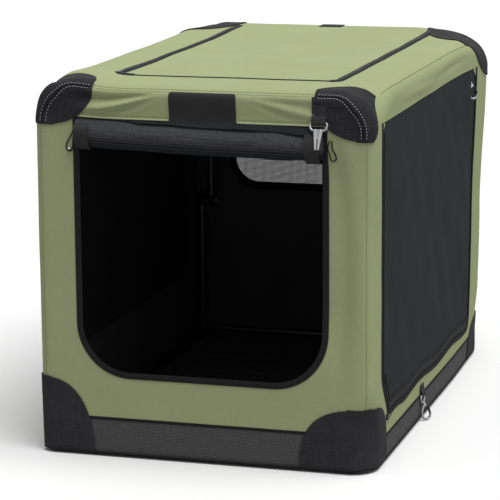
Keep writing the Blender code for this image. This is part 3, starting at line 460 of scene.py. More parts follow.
def stitches(name, path, raised, length=3.4 * MM, pitch=5.2 * MM, thread=0.55 * MM):
    """A row of stitches: one small capsule, repeated along a path on the crate's box."""
    one = sphere("stitch", segments=6, ring_count=4, radius=0.5)
    shape = vertices(one)[None] * (2 * thread, 1.3 * thread, length)
    faces = [list(face.vertices) for face in one.data.polygons]
    bpy.data.objects.remove(one, do_unlink=True)
    path = spaced(path, pitch)
    normal = cover_normal(lay(path))
    path = settle(path, raised)
    along = directions(path)
    frames = np.stack([np.cross(normal, along), normal, along], 1)[:-1]
    points = ((path[1:] + path[:-1]) / 2)[:, None] + shape @ frames
    every = [[v + i * shape.shape[1] for v in face] for i in range(len(points)) for face in faces]
    piece = from_faces(name, points.reshape(-1, 3), every)
    bpy.ops.object.shade_smooth()
    return piece


# Slack of the cloth: soft waves everywhere, and the folds that the header and the side show
FRONT_FACE, SIDE_FACE = -440 * MM, 280 * MM  # cloth past these is on the front or on the right


def fold_line(first, second, start, end, width, depth):
    """A soft fold from one point of a side to another, fading out at both."""
    start, end = np.array(start), np.array(end)
    way = end - start
    long = np.linalg.norm(way)
    way /= long
    along = ((first - start[0]) * way[0] + (second - start[1]) * way[1]) / long
    off = (second - start[1]) * way[0] - (first - start[0]) * way[1]
    fade = ease(along * 2) * ease((1 - along) * 2)
    return depth * fade * np.exp(-(off / width) ** 2)


# Depth, direction and width of each fold beside the label, the last two in degrees
HEADER_FOLDS = ((-1.0, 6.5, 3.4), (0.75, 13.5, 3.6), (-0.45, 21, 3.5), (0.35, 29, 4.5))


def header_fan(x, z, side, depth):
    """Folds that spread from the label's upper corner towards the cap."""
    out, down = side * x - 58 * MM, 634 * MM - z
    reach = np.hypot(out, down)
    turn = np.degrees(np.arctan2(down, np.maximum(out, 1 * MM)))
    waves = sum(high * np.exp(-((turn - middle) / width) ** 2)
                for high, middle, width in HEADER_FOLDS)
    grow = ramp(reach, 0, 120) * ease((172 * MM - reach) / (60 * MM) + 0.4)
    return depth * waves * grow * (out > 0)


def slack(points):
    """How far the cloth stands off its box: soft waves, and the folds of the front and side."""
    x, y, z = points.T
    waves = 0.9 * MM * (0.5 + 0.5 * ripples(points, 5, 0.15))
    waves += 0.35 * MM * (0.5 + 0.5 * ripples(points, 11, 0.045))
    header = header_fan(x, z, -1, 8.5 * MM) + header_fan(x, z, 1, 4.0 * MM)
    header = header * ramp(z, 592, 14) + 3.4 * MM * ramp(z, 592, 40)
    drift = 0.5 * ripples(np.stack([z, z * 0, z * 0], 1), 61, 0.35)
    strip = (0.8 + 0.8 * np.sign(x)) * MM * (np.sin(2 * pi * (x / (46 * MM) + drift)) - 1)
    strip *= ramp(z, 110, 90) * ramp(z, 586, -30) * ramp(np.abs(x), 213, 14)
    drawn_in = (x > 0) * 10 * MM * ramp(x, 278, -70) * ramp(z, 165, 130) * ramp(z, 566, -70)
    front = header * ramp(z, 640, -9) + strip - drawn_in
    side = fold_line(y, z, (-330 * MM, 612 * MM), (60 * MM, 602 * MM), 8 * MM, 2.0 * MM)
    side += fold_line(y, z, (330 * MM, 618 * MM), (-20 * MM, 606 * MM), 7 * MM, -1.8 * MM)
    return (waves * ramp(z, 20, 60) + np.where(y < FRONT_FACE, front, 0)
            + np.where((x > SIDE_FACE) & (z > 590 * MM), side, 0))


def settle(points, raised=0.0):
    """Lay points on the slack cloth, raised above it by this much."""
    points = lay(points)
    return stretch(lay(points, slack(points) + raised))


def stretch(points):
    """Where the cover leaves its plain box: fuller at the left, its front left corner drawn up,
    its rear top corners leaning out."""
    points = np.array(points, float)
    x, y, z = points.T.copy()
    rear = ramp(y, 150, 300)
    out = 10.5 * MM * ramp(z, 300, 280) - 4 * MM * ramp(z, 300, -250)
    points[:, 0] += ramp(x, 225, 65) * rear * out - 8 * MM * ramp(x, -238, -55)
    up = 9 * MM * ramp(x, 270, -120) - 3.5 * MM
    points[:, 2] += ramp(z, 560, 80) * rear * up
    points[:, 2] += 7 * MM * ramp(z, 570, 50) * ramp(y, -180, -270) * ramp(x, -150, -90)
    return points


def hang(points):
    """The side cloth hangs off true: its low front corner is drawn to a point, its hem waves."""
    points = np.array(points, float)
    y, z = points[:, 1].copy(), points[:, 2].copy()
    pull = np.where(y < SIDE_DOOR[0][0], ease((y + WALL_END) / (39 * MM)), ramp(y, -190, -208))
    points[:, 1] += SIDE_POINT_SHIFT * ramp(z, 165, -85) * pull
    drop = 1.5 * MM + 6.5 * MM * ramp(y, -330, 600)
    drop += 3.5 * MM * np.sin(2 * pi * (y + 300 * MM) / (265 * MM)) * ramp(y, -380, 120)
    points[:, 2] -= drop * ease((z - WALL_LOW) / (14 * MM)) * ramp(z, 260, -170)
    return points


# Finishes
def node(tree, kind, inputs=(), **settings):
    made = tree.nodes.new(kind)
    for name, value in settings.items():
        setattr(made, name, value)
    for name, value in dict(inputs).items():
        if isinstance(value, bpy.types.NodeSocket):
            tree.links.new(value, made.inputs[name])
        else:
            made.inputs[name].default_value = value
    return made


def value_of(*parts, **settings):
    """The first output of a new node."""
    return node(*parts, **settings).outputs[0]


DULL = {"Roughness": 0.85, "Specular_IOR_Level": 0.12}


def finish(name, **values):
    """A finish with its shader; names of values are the shader's own sockets."""
    made = bpy.data.materials.new(name)
    made.use_nodes = True
    tree = made.node_tree
    shader = tree.nodes["Principled BSDF"]
    for socket, value in values.items():
        shader.inputs[socket.replace("_", " ")].default_value = value
    coordinates = node(tree, "ShaderNodeTexCoord").outputs["Object"]
    return made, tree, shader, coordinates


def blend_colours(tree, share, first, second):
    sockets = {0: share, 6: first, 7: second}  # the mix node's sockets for colours
    return node(tree, "ShaderNodeMix", sockets, data_type="RGBA").outputs[2]


def threads(tree, coordinates, pitch):
    """Uneven threads along all three axes; on any one side two of them cross."""
    total = 0.0
    for long in range(3):
        scale = [0.06 if axis == long else 1.0 for axis in range(3)]
        mapped = value_of(tree, "ShaderNodeMapping", {"Vector": coordinates, "Scale": scale})
        noise = value_of(tree, "ShaderNodeTexNoise",
                         {"Vector": mapped, "Scale": 1 / pitch, "Detail": 2.0})
        total = value_of(tree, "ShaderNodeMath", {0: total, 1: noise})
    return value_of(tree, "ShaderNodeMath", {0: total, 1: 1 / 3}, operation="MULTIPLY")


def spread(tree, value, low, high):
    """A value from low to high stretched to run from 0 to 1."""
    return value_of(tree, "ShaderNodeMapRange", {"Value": value, "From Min": low, "From Max": high})


def shade(tree, shader, pale, dark, share, height, strength, depth):
    """Blend a finish from dark to pale by a share, and give it relief from a height."""
    colour = blend_colours(tree, share, (*dark, 1), (*pale, 1))
    tree.links.new(colour, shader.inputs["Base Color"])
    raised = value_of(tree, "ShaderNodeBump",
                      {"Height": height, "Strength": strength, "Distance": depth})
    tree.links.new(raised, shader.inputs["Normal"])


def cloth_finish(name, pale, dark, pitch=1.1 * MM, strength=0.35, patchy=0.25):
    """Woven cloth: crossed threads, with faded and darker places."""
    made, tree, shader, coordinates = finish(name, **DULL)
    woven = threads(tree, coordinates, pitch)
    places = value_of(tree, "ShaderNodeTexNoise",
                      {"Vector": coordinates, "Scale": 9.0, "Detail": 4.0, "Roughness": 0.6})
    share = value_of(tree, "ShaderNodeMix", {0: patchy, 2: spread(tree, woven, 0.32, 0.68),
                                             3: spread(tree, places, 0.3, 0.7)})
    shade(tree, shader, pale, dark, share, woven, strength, 0.4 * MM)
    return made


def ribbed_finish(name, pale, dark, pitch, way="Z"):
    """Ribbed cloth or webbing: ribs across one axis, broken up by its threads."""
    made, tree, shader, coordinates = finish(name, **DULL)
    ribs = value_of(tree, "ShaderNodeTexWave",
                    {"Vector": coordinates, "Scale": 0.314 / pitch, "Distortion": 1.2,
                     "Detail": 2.0, "Detail Scale": 3.0}, bands_direction=way)
    woven = spread(tree, threads(tree, coordinates, pitch * 0.6), 0.3, 0.7)
    height = value_of(tree, "ShaderNodeMix", {0: 0.45, 2: ribs, 3: woven})
    shade(tree, shader, pale, dark, height, height, 0.5, 0.6 * MM)
    return made


def speckled_finish(name, pale, dark, pitch):
    """Knitted net lying on darker cloth: a fine field of small holes."""
    made, tree, shader, coordinates = finish(name, **DULL)
    holes = node(tree, "ShaderNodeTexVoronoi", {"Vector": coordinates, "Scale": 1 / pitch,
                                                "Randomness": 0.55}).outputs["Distance"]
    share = spread(tree, holes, 0.15, 0.6)
    shade(tree, shader, pale, dark, share, share, 0.6, 0.4 * MM)
    return made


def hard_finish(name, pale, dark, grain=0.6 * MM, strength=0.08, **values):
    """Moulded plastic, powder coat or metal: a fine grain and slightly worn places."""
    made, tree, shader, coordinates = finish(name, **values)
    fine = value_of(tree, "ShaderNodeTexNoise",
                    {"Vector": coordinates, "Scale": 1 / grain, "Detail": 3.0})
    worn = value_of(tree, "ShaderNodeTexNoise",
                    {"Vector": coordinates, "Scale": 45.0, "Detail": 5.0, "Roughness": 0.7})
    share = spread(tree, worn, 0.35, 0.65)
    shade(tree, shader, pale, dark, share, fine, strength, 0.2 * MM)
    return made


canvas = cloth_finish("green_canvas", (0.385, 0.425, 0.236), (0.305, 0.338, 0.172))
# A lighter copy of the green canvas for the header's folded hem: a painted highlight where light
# catches its rolled edge
lit_hem_canvas = cloth_finish("canvas_hem_painted_highlight", (0.50, 0.54, 0.33), (0.38, 0.41, 0.23))
lining = cloth_finish("dark_lining", (0.098, 0.100, 0.105), (0.060, 0.061, 0.064))
patch_cloth = cloth_finish("black_patch", (0.042, 0.042, 0.046), (0.009, 0.009, 0.011),
                           pitch=1.9 * MM, strength=0.8, patchy=0.12)
foot_cloth = cloth_finish("foot_patch", (0.048, 0.048, 0.052), (0.017, 0.017, 0.019),
                          pitch=1.9 * MM, strength=0.5, patchy=0.3)
band_cloth = ribbed_finish("grey_band", (0.135, 0.134, 0.138), (0.026, 0.026, 0.028), 2.6 * MM)
panel_cloth = cloth_finish("charcoal_panel", (0.025, 0.027, 0.029), (0.014, 0.015, 0.017),
                           pitch=0.9 * MM, strength=0.25)
roll_net = speckled_finish("black_mesh", (0.072, 0.073, 0.079), (0.010, 0.010, 0.012), 1.9 * MM)
net_thread = cloth_finish("net_thread", (0.030, 0.030, 0.033), (0.018, 0.018, 0.020),
                          pitch=0.5 * MM)
binding = ribbed_finish("black_binding", (0.026, 0.026, 0.027), (0.007, 0.007, 0.008), 1.1 * MM)
webbing = ribbed_finish("black_webbing", (0.060, 0.060, 0.062), (0.010, 0.010, 0.011), 1.7 * MM,
                        way="DIAGONAL")
pad_cloth = cloth_finish("pad_cloth", (0.085, 0.085, 0.088), (0.050, 0.050, 0.053),
                         pitch=1.8 * MM)
pale_thread = cloth_finish("pale_thread", (0.62, 0.62, 0.63), (0.34, 0.34, 0.35), pitch=0.4 * MM)
green_thread = cloth_finish("green_thread", (0.21, 0.23, 0.12), (0.13, 0.14, 0.07),
                            pitch=0.4 * MM)
dark_thread = cloth_finish("dark_thread", (0.07, 0.07, 0.072), (0.04, 0.04, 0.042),
                           pitch=0.4 * MM)
black_cord = ribbed_finish("black_cord", (0.020, 0.020, 0.021), (0.006, 0.006, 0.006), 0.9 * MM)
label_patch = hard_finish("label_patch", (0.016, 0.016, 0.017), (0.010, 0.010, 0.011),
                          grain=0.5 * MM, strength=0.25, Roughness=0.55, Specular_IOR_Level=0.25)
alloy = hard_finish("alloy", (0.46, 0.46, 0.47), (0.34, 0.34, 0.35), Metallic=0.6, Roughness=0.42)
coil_thread = ribbed_finish("zip_coil", (0.16, 0.16, 0.165), (0.03, 0.03, 0.032), 1.6 * MM)
dark_metal = hard_finish("dark_slider", (0.075, 0.075, 0.078), (0.03, 0.03, 0.032), Metallic=0.5,
                         Roughness=0.4)
steel = hard_finish("steel", (0.60, 0.60, 0.61), (0.42, 0.42, 0.44), Metallic=1.0, Roughness=0.34)
tube_coat = hard_finish("black_tube", (0.024, 0.024, 0.026), (0.015, 0.015, 0.016),
                        Roughness=0.38, Metallic=0.2)
plastic = hard_finish("black_plastic", (0.032, 0.032, 0.033), (0.022, 0.022, 0.023),
                      Roughness=0.5)
grey_plastic = hard_finish("grey_button", (0.32, 0.32, 0.33), (0.26, 0.26, 0.27), Roughness=0.45)


# Cover: walls, roof and bottom
def settle_piece(piece):
    return set_vertices(piece, settle(vertices(piece)))


def wall(name, node_name, parts, openings=()):
    piece = join(name, [cloth(name, *part) for part in parts], merge=SEWN)
    for side, outline in openings:
        open_up(piece, side, outline)
    if parts[0][0] == "right":
        set_vertices(piece, hang(vertices(piece)))
    settle_piece(dress(piece, canvas, lining))
    smooth(thicken(piece, lined=True))
    return ride(piece, "base", [node_name], WALL_FOLD)


def end_wall(name, node_name, face, end, outline):
    low, high = sorted((end * HALF_DEPTH, end * WALL_END))
    parts = [(face, (-HALF_WIDTH, WALL_LOW), (HALF_WIDTH, WALL_HIGH))]
    parts += [(side, (low, WALL_LOW), (high, WALL_HIGH)) for side in ("left", "right")]
    return wall(name, node_name, parts, [(face, outline)])


def make_walls():
    front = end_wall("front_panel", "front_wall", "front", -1, DOORWAY)
    rear = end_wall("rear_panel", "rear_wall", "rear", 1, REAR_WINDOW)
    left = wall("left_panel", "left_wall", [("left", (-WALL_END, WALL_LOW), (WALL_END, WALL_HIGH))],
                [("left", LEFT_WINDOW)])
    make_side_strips()


def make_side_strips():
    """Three strips round the side door: the canvas left at the front, below and at the rear."""
    (y0, z0), (y1, _), _ = SIDE_DOOR
    ahead, behind, door = y0 + 30 * MM, y1 - 30 * MM, [("right", SIDE_DOOR)]
    front = wall("side_front_strip", "right_wall",
                 [("right", (-WALL_END, WALL_LOW), (ahead, WALL_HIGH))], door)
    rear = wall("side_rear_strip", "right_wall",
                [("right", (behind, WALL_LOW), (WALL_END, WALL_HIGH))], door)
    sill = wall("side_low_strip", "right_wall", [("right", (ahead, WALL_LOW), (behind, z0))])


def all_round(low, high):
    """The parts of a sheet that runs round the crate's four sides between two heights."""
    halves = {"front": HALF_WIDTH, "rear": HALF_WIDTH, "left": HALF_DEPTH, "right": HALF_DEPTH}
    return [(side, (-half, low), (half, high)) for side, half in halves.items()]


# Size of the roof's cells on its top, front, rear, left and right
ROOF_STEPS = np.array([(5, 7), (5, 2.8), (5, 2.8), (7, 2.8), (7, 2.8)]) * MM


def make_roof():
    parts = [("top", *PLAN)] + all_round(SKIRT_EDGE, HEIGHT)
    sheets = [cloth("roof", *part, step) for part, step in zip(parts, ROOF_STEPS)]
    roof = open_up(join("roof_cover", sheets, merge=SEWN), "top", TOP_DOOR)
    settle_piece(dress(roof, canvas, lining))
    smooth(thicken(roof, lined=True))
    ride(roof, "top", ["roof_panel"])


def shrunk(outline, room):
    (x0, z0), (x1, z1), radii = outline
    return (x0 + room, z0 + room), (x1 - room, z1 - room), tuple(r - room for r in radii)


def make_top_door():
    outline = shrunk(TOP_DOOR, 0.4 * MM)
    door = settle_piece(panel("top_flap", "top", outline))
    points = vertices(door)
    edge = -outline_distance(points[:, :2], outline)
    points[:, 2] += 1.6 * MM * ramp(edge, 0, 60) * ripples(points, 23, 0.2)
    set_vertices(dress(door, canvas, lining), points)
    smooth(thicken(door, lined=True))
    ride(door, "top_door", ["top_door"])


def make_side_door():
    outline = shrunk(SIDE_DOOR, 0.4 * MM)
    door = panel("side_flap", "right", outline)
    edge = ramp(-outline_distance(vertices(door)[:, 1:], outline), 0, 70)
    points = settle(hang(vertices(door)))
    waves = 2.6 * MM * ripples(points, 31, 0.3) + 1.1 * MM * ripples(points, 37, 0.09)
    points[:, 0] += edge * waves
    smooth(thicken(set_vertices(door, points)))
    ride(door, "side_door", ["side_door"], SIDE_DOOR_FOLD, panel_cloth)


def make_bottom():
    """The grey band and the bottom; on the right the green cloth reaches down over the band."""
    parts = [("bottom", *PLAN)] + all_round(0, BAND_TOP)
    band = join("base_band", [cloth("band", *part) for part in parts], merge=SEWN)
    x, y, z = centres(band).T
    green = (x > HALF_WIDTH - 1 * MM) & (np.abs(y) < WALL_END) & (z > SIDE_LOW)
    dress(band, band_cloth, lining, canvas, lining)
    band.data.polygons.foreach_set("material_index", np.where(green, 2, 0).astype(np.int32))
    smooth(thicken(settle_piece(band), lined=True))
    ride(band, "base", ["bottom_cover"])


def ring_path(height, right=None):
    """A line round all four sides of the crate, at another height on the right if need be."""
    w, d, low = HALF_WIDTH, HALF_DEPTH, height if right is None else right
    bend = WALL_END - 20 * MM
    corners = [(-w, -d, height), (w, -d, height), (w, -WALL_END, height), (w, -bend, low),
               (w, bend, low), (w, WALL_END, height), (w, d, height), (-w, d, height),
               (-w, -d, height)]
    return spaced(corners, 6 * MM)


def make_band_trim():
    edge = piping("band_edge", ring_path(5.5 * MM), 2.6 * MM, 0.2 * MM)
    seam = tape("band_seam", ring_path(BAND_TOP - 1 * MM, SIDE_LOW - 1 * MM), 5 * MM, 0.9 * MM,
                0.8 * MM, crown=0.3 * MM)
    ride(join("band_trim", [edge, seam]), "base", cover=binding)


# Corner patches: reaches across, along and up or down in millimetres, fullness of the outline,
# and how much of the reach along the side is left well below the top
TOP_PATCHES = {
    (-1, -1): ((100, 80, 70), 2.5, 0.3), (1, -1): ((100, 68, 81), 2.5, 0.3),
    (-1, 1): ((100, 140, 80), 2.5, 0.5), (1, 1): ((105, 165, 84), 2.2, 0.6),
}
FOOT_PATCHES = {
    (-1, -1): ((91, 89, 137), 2.3, 1), (1, -1): ((127, 89, 113), 3.0, 1),
    (-1, 1): ((91, 89, 120), 2.3, 1), (1, 1): ((127, 125, 84), 2.3, 1),
}


def patch_metric(points, corner, reaches, fullness, wrap):
    """One at the edge of a corner patch, less inside it; a top patch wraps less of the side."""
    gaps = np.abs(points - corner)
    reaches = np.broadcast_to(reaches, gaps.shape).copy()
    reaches[:, 1] *= wrap + (1 - wrap) * np.exp(-gaps[:, 2] / (28 * MM))
    return np.sum((gaps / reaches) ** fullness, axis=1) ** (1 / fullness)


def corner_patch(name, sign_x, sign_y, at_top):
    """A patch of cloth round one corner, cut to a rounded outline."""
    reaches, *form = (TOP_PATCHES if at_top else FOOT_PATCHES)[sign_x, sign_y]
    reaches = np.array(reaches) * MM
    corner = np.array((sign_x * HALF_WIDTH, sign_y * HALF_DEPTH, HEIGHT if at_top else 0.0))
    far = corner - np.array((sign_x, sign_y, 1 if at_top else -1)) * reaches
    low, high = np.minimum(corner, far), np.maximum(corner, far)
    if not at_top:
        low[2] = 5 * MM
    parts = [("front" if sign_y < 0 else "rear", low[[0, 2]], high[[0, 2]]),
             ("left" if sign_x < 0 else "right", low[1:], high[1:])]
    if at_top:
        parts.append(("top", low[:2], high[:2]))
    patch = join(name, [cloth(name, *part, step=4 * MM) for part in parts], merge=SEWN)
    gone = patch_metric(centres(patch), corner, reaches, *form) > 1
    points, edge = vertices(patch), edge_points(patch, gone)
    metric = patch_metric(points[edge], corner, reaches, *form)
    points[edge] = corner + (points[edge] - corner) / metric[:, None]
    edit(set_vertices(patch, points), gone, bpy.ops.mesh.delete, type="FACE")
    points = vertices(patch)
    metric = patch_metric(points, corner, reaches, *form)
    raised = (1.5 if at_top else 1.8) * MM + 0.6 * MM * ease((metric - 0.9) / 0.05)
    raised += 0.5 * MM * ripples(points, 41, 0.03) * ease((1 - metric) * 6)
    smooth(thicken(set_vertices(patch, settle(points, raised)), 1.1 * MM))
    return dress(patch, patch_cloth if at_top else foot_cloth)


def silhouette_path(inset, sign_x, y, from_x, to_z):
    """A line round one top corner that draws away from the crate's outline as it goes down."""
    centre = (HALF_WIDTH - BOW_RADIUS, HEIGHT - BOW_RADIUS)
    line = [(from_x, HEIGHT - inset)]
    for share in np.linspace(0, 1, 14):
        radius = BOW_RADIUS - inset - 9.5 * MM * ease(share * 2)
        turn = pi / 2 * (1 - share)
        line.append((centre[0] + radius * cos(turn), centre[1] + radius * sin(turn)))
    line.append((line[-1][0], to_z))
    return np.array([(sign_x * x, y, z) for x, z in line])


def make_patches():
    for sign_x, sign_y in TOP_PATCHES:
        end = "front" if sign_y < 0 else "rear"
        side = "left" if sign_x < 0 else "right"
        cap = corner_patch(f"{end}_{side}_top_patch", sign_x, sign_y, True)
        ride(cap, "top", [f"{end}_{side}_cap"])
        make_cap_trim(cap, f"{end}_{side}_top", sign_x, sign_y)
        boot = corner_patch(f"{end}_{side}_foot_patch", sign_x, sign_y, False)
        ride(boot, "base", [f"{end}_{side}_boot"], BOOT_FOLD)


def make_cap_trim(cap, name, sign_x, sign_y):
    """Two rows of stitches on a top patch, with a cord between them."""
    foot = HEIGHT - (TOP_PATCHES[sign_x, sign_y][0][2] - 5) * MM

    def line(inset, from_x):
        return silhouette_path(inset, sign_x, sign_y * HALF_DEPTH, from_x, foot)

    rows = [stitches(f"cap_stitch_{number}", line(inset, 197 * MM), 2.3 * MM)
            for number, inset in enumerate((2.5 * MM, 11 * MM))]
    dress(join(f"{name}_stitches", rows), pale_thread).parent = cap
    path = settle(spaced(line(6.8 * MM, 196 * MM), 4 * MM), 2.0 * MM)
    dress(tube(f"{name}_piping", path, 1.5 * MM), binding).parent = cap


# Rolled front door
ROLL_LEFT, ROLL_RIGHT = -222 * MM, 208 * MM
ROLL_Y, ROLL_Z = -445 * MM, 562.4 * MM
HEADER_INSIDE = -453.5 * MM  # the inner face of the roof cover's front edge


def roll_middle(across):
    """Height of the roll's middle line: it hangs lower at the right and sags between its ends."""
    return ROLL_Z - 3 * MM * np.sin(pi * across) - 9 * MM * across + roll_radius(across) - 27 * MM


def roll_radius(across):
    """The roll is tied tighter at its right end."""
    return 27 * MM + 3 * MM * ease((0.93 - across) / 0.14)


def behind_header(y, z, edge):
    """Keep points behind the header's cloth above its edge."""
    return np.maximum(y, HEADER_INSIDE - 2.5 * np.maximum(edge - z, 0))


def make_roll():
    """The door rolled up in four turns; its head hangs flat from inside the header."""
    turns, layer, per_turn, head = 4, 4.2 * MM, 24, 3
    roll, share = grid("rolled_door", 86, per_turn * turns + head)
    across = share[:, 0]
    turn = share[:, 1] * (per_turn * turns + head) / per_turn
    past = np.maximum(turn - turns, 0) * per_turn / head
    turn = np.minimum(turn, turns)
    x = ROLL_LEFT + across * (ROLL_RIGHT - ROLL_LEFT)
    angle = radians(128) + 2 * pi * turn
    reach = roll_radius(across) - layer * (turns - turn)
    reach *= 1 + 0.03 * ripples(np.stack([x * 3, turn * 0.1, turn * 0], 1), 51, 0.2)
    y = ROLL_Y + reach * np.cos(angle)
    z = roll_middle(across) + reach * np.sin(angle)
    y += past * (HEADER_INSIDE - y)
    z += past * (596 * MM - z)
    set_vertices(roll, np.stack([x, behind_header(y, z, SKIRT_EDGE), z], 1))
    roll.data.flip_normals()
    dress(roll, roll_net, panel_cloth)
    corners = [list(face.vertices) for face in roll.data.polygons]
    facing = np.array([angle[points].mean() for points in corners]) % (2 * pi)
    netted = (facing > radians(95)) & (facing < radians(196))
    netted &= np.array([past[points].max() for points in corners]) == 0
    roll.data.polygons.foreach_set("material_index", np.where(netted, 0, 1).astype(np.int32))
    smooth(thicken(roll, 1.6 * MM), 50)
    ride(roll, "top", ["front_door_roll"], ROLL_FOLD)
    make_roll_ties()


def make_roll_ties():
    """Three ribs along the roll and the two webbing ties round it."""
    trim = []
    along = np.linspace(0.03, 0.97, 40)
    reach = roll_radius(along) + 0.2 * MM
    for number, turn in enumerate(np.radians((190, 199, 208))):
        line = np.stack([ROLL_LEFT + along * (ROLL_RIGHT - ROLL_LEFT), ROLL_Y + reach * cos(turn),
                         roll_middle(along) + reach * sin(turn)], 1)
        trim.append(tube(f"roll_rib_{number}", line, 0.9 * MM))
    for number, place in enumerate((-209.5 * MM, 190 * MM)):
        tie, share = grid(f"roll_tie_{number}", 4, 40)
        turn = share[:, 1] * 2 * pi
        along = (place - ROLL_LEFT) / (ROLL_RIGHT - ROLL_LEFT)
        reach = roll_radius(along) + 1.9 * MM
        z = roll_middle(along) + reach * np.sin(turn)
        y = behind_header(ROLL_Y + reach * np.cos(turn), z, SKIRT_EDGE - 2 * MM)
        set_vertices(tie, np.stack([place + (share[:, 0] - 0.5) * 25 * MM, y, z], 1))
        join(tie.name, [tie], merge=0.1 * MM).data.flip_normals()
        trim.append(smooth(thicken(tie, 1.2 * MM)))
    ride(join("roll_ties", trim), "top", fold=ROLL_FOLD, cover=webbing)


# Bindings, zips and seams
def make_doorway_binding():
    left = [(-223 * MM, z) for z in np.arange(585, 236, -6) * MM]
    sill_left = corner_arc((-133 * MM, 236 * MM), 90 * MM, 180)
    sill_right = corner_arc((119 * MM, 236 * MM), 90 * MM, 270)
    right = [(209 * MM, z) for z in np.arange(240, 586, 6) * MM]
    path = on_side("front", np.concatenate([left, sill_left, sill_right, right]))
    trim = tape("doorway_binding", path, 11 * MM, 1.3 * MM, 1.6 * MM, crown=0.8 * MM)
    ride(trim, "base", fold=WALL_FOLD, cover=binding)


def zip_line(name, path, width):
    """Zip in the roof: a tape and the coil along its middle."""
    line = on_side("top", path)
    band = tape(name, line, width, 1.0 * MM, crown=0.3 * MM)
    return band, tube(name + "_coil", settle(spaced(line, 5 * MM), 1.8 * MM), 1.2 * MM)


def make_top_zips():
    (x0, y0), (x1, _), _ = TOP_DOOR
    bend = 14 * MM
    left = np.concatenate([[(x0, y) for y in np.arange(392, -318, -6) * MM],
                           corner_arc((x0 + bend, y0 + bend), bend, 180), [(x0 + 30 * MM, y0)]])
    right = np.concatenate([corner_arc((x1 - bend, y0 + bend), bend, 270),
                            [(x1, y) for y in np.arange(-312, 393, 6) * MM]])
    front = [(x, y0) for x in np.linspace(x0 + 20 * MM, x1 - bend, 60)]
    left_tape, left_coil = zip_line("top_zip_left", left, np.array([15] * 5 + [20, 14]) * MM)
    right_tape, right_coil = zip_line("top_zip_right", right, 15 * MM)
    front_tape = tape("top_zip_front", on_side("top", front), 8 * MM, 1.0 * MM)
    for name, parts, cover in (("top_zip_tape", [left_tape, right_tape, front_tape], binding),
                               ("top_zip_coil", [left_coil, right_coil], coil_thread)):
        ride(join(name, parts), "top", cover=cover)


def side_door_edge(grow, top):
    """The side door's edge without its upper, hinged side: down, along the bottom and up."""
    (_, z0), (_, z1), _ = SIDE_DOOR
    path = outline_path(SIDE_DOOR, grow)[:-1]
    path = path[path[:, 1] < (z0 + z1) / 2]
    ends = [(path[i, 0], z1 + top) for i in (0, -1)]
    return spaced(np.concatenate([ends[:1], path, ends[1:]]), 5 * MM)


def side_run(start, inset, end):
    """A line inside the side door's edge: down its front end and along its bottom."""
    (y0, z0), (y1, _), _ = SIDE_DOOR
    corners = [(y0 + inset, z0 + start), (y0 + inset, z0 + inset), (y1 - end, z0 + inset)]
    return hang(spaced(on_side("right", corners), 5 * MM))


def make_side_zip():
    """The side door's zip, and the cords and the border on the door itself."""
    line = hang(on_side("right", side_door_edge(1.5 * MM, 2 * MM)))
    zips = tape("side_zip_tape", line, 9 * MM, 1.0 * MM, crown=0.4 * MM)
    ride(zips, "base", fold=WALL_FOLD, cover=binding)
    line = hang(on_side("right", side_door_edge(-6 * MM, -14 * MM)))
    cords = [piping("side_cord", line, 1.2 * MM),
             piping("side_hem_cord", side_run(74 * MM, 19 * MM, 14 * MM), 1.7 * MM)]
    ride(join("side_door_piping", cords), "side_door", fold=SIDE_DOOR_FOLD,
         cover=binding)
    border = tape("side_door_border", side_run(78 * MM, 12.5 * MM, 12 * MM),
                  np.array([1] + [11] * 12) * MM, 0.9 * MM, 0.8 * MM, crown=0.5 * MM)
    ride(border, "side_door", fold=SIDE_DOOR_FOLD, cover=webbing)


def make_seams():
    def row(name, side, start, end, raised=0.6 * MM):
        return stitches(name, on_side(side, np.array((start, end)) * MM), raised)

    rows = [row(f"header_row_{number}", "front", (-192, z), (190, z))
            for number, z in enumerate((637, 645))]
    rows += [row("hem_row", "front", (start, 594.5), (end, 594.5))
             for start, end in ((-212, -60), (62, 187))]
    rows += [row("side_row", side, (-370, 643), (370, 643)) for side in ("left", "right")]
    ride(join("roof_stitches", rows), "top", cover=green_thread)
    rows = [row("wall_row", end, (x, 112), (x, 574), 0.5 * MM)
            for end in ("front", "rear") for x in (-281, 281)]
    ride(join("wall_stitches", rows), "base", fold=WALL_FOLD, cover=green_thread)
    # The header's hem piping wears the lighter canvas copy, a painted highlight along its edge
    runs = [piping("hem", on_side("front", np.array((start, end)) * MM), 1.5 * MM)
            for start, end in (((-214, 589.5), (-59, 589.5)), ((61, 589.5), (187, 589.5)))]
    ride(join("header_hem", runs), "top", cover=lit_hem_canvas)


# Mesh windows
NET_THICKNESS = 0.35 * MM  # of each of its two layers of threads


def net(name, side, outline, pitch, thread, depth):
    """A knitted net of crossing threads, cut to the window's rounded outline."""
    (x0, z0), (x1, z1), _ = outline
    rows, layers, faces = [], [], []
    for axis, (low, high), (start, end) in ((0, (x0, x1), (z0, z1)), (1, (z0, z1), (x0, x1))):
        order = 1 if axis == 0 else -1
        line = np.linspace(start, end, 200)
        for place in np.arange(low + pitch / 2, high, pitch):
            flat = np.stack([np.full(200, place), line][::order], 1)
            inside = line[outline_distance(flat, outline) < -1 * MM]
            if len(inside) > 1:
                rows += [(a, b)[::order] for a in (place - thread / 2, place + thread / 2)
                         for b in (inside[0], inside[-1])]
                layers += [axis] * 4
    outer = on_side(side, rows)
    normal = cover_normal(outer)
    outer = outer - normal * (depth + np.array(layers) * NET_THICKNESS)[:, None]
    inner = outer - normal * NET_THICKNESS
    for i in range(0, len(outer), 4):
        a, b, c, d = i, i + 1, i + 3, i + 2
        e, f, g, h = (v + len(outer) for v in (a, b, c, d))
        faces += [(a, b, c, d), (h, g, f, e), (a, e, f, b), (b, f, g, c), (c, g, h, d),
                  (d, h, e, a)]
    piece = from_faces(name, np.concatenate([outer, inner]), faces)
    return dress(edit(piece, None, bpy.ops.mesh.normals_make_consistent, inside=False), net_thread)


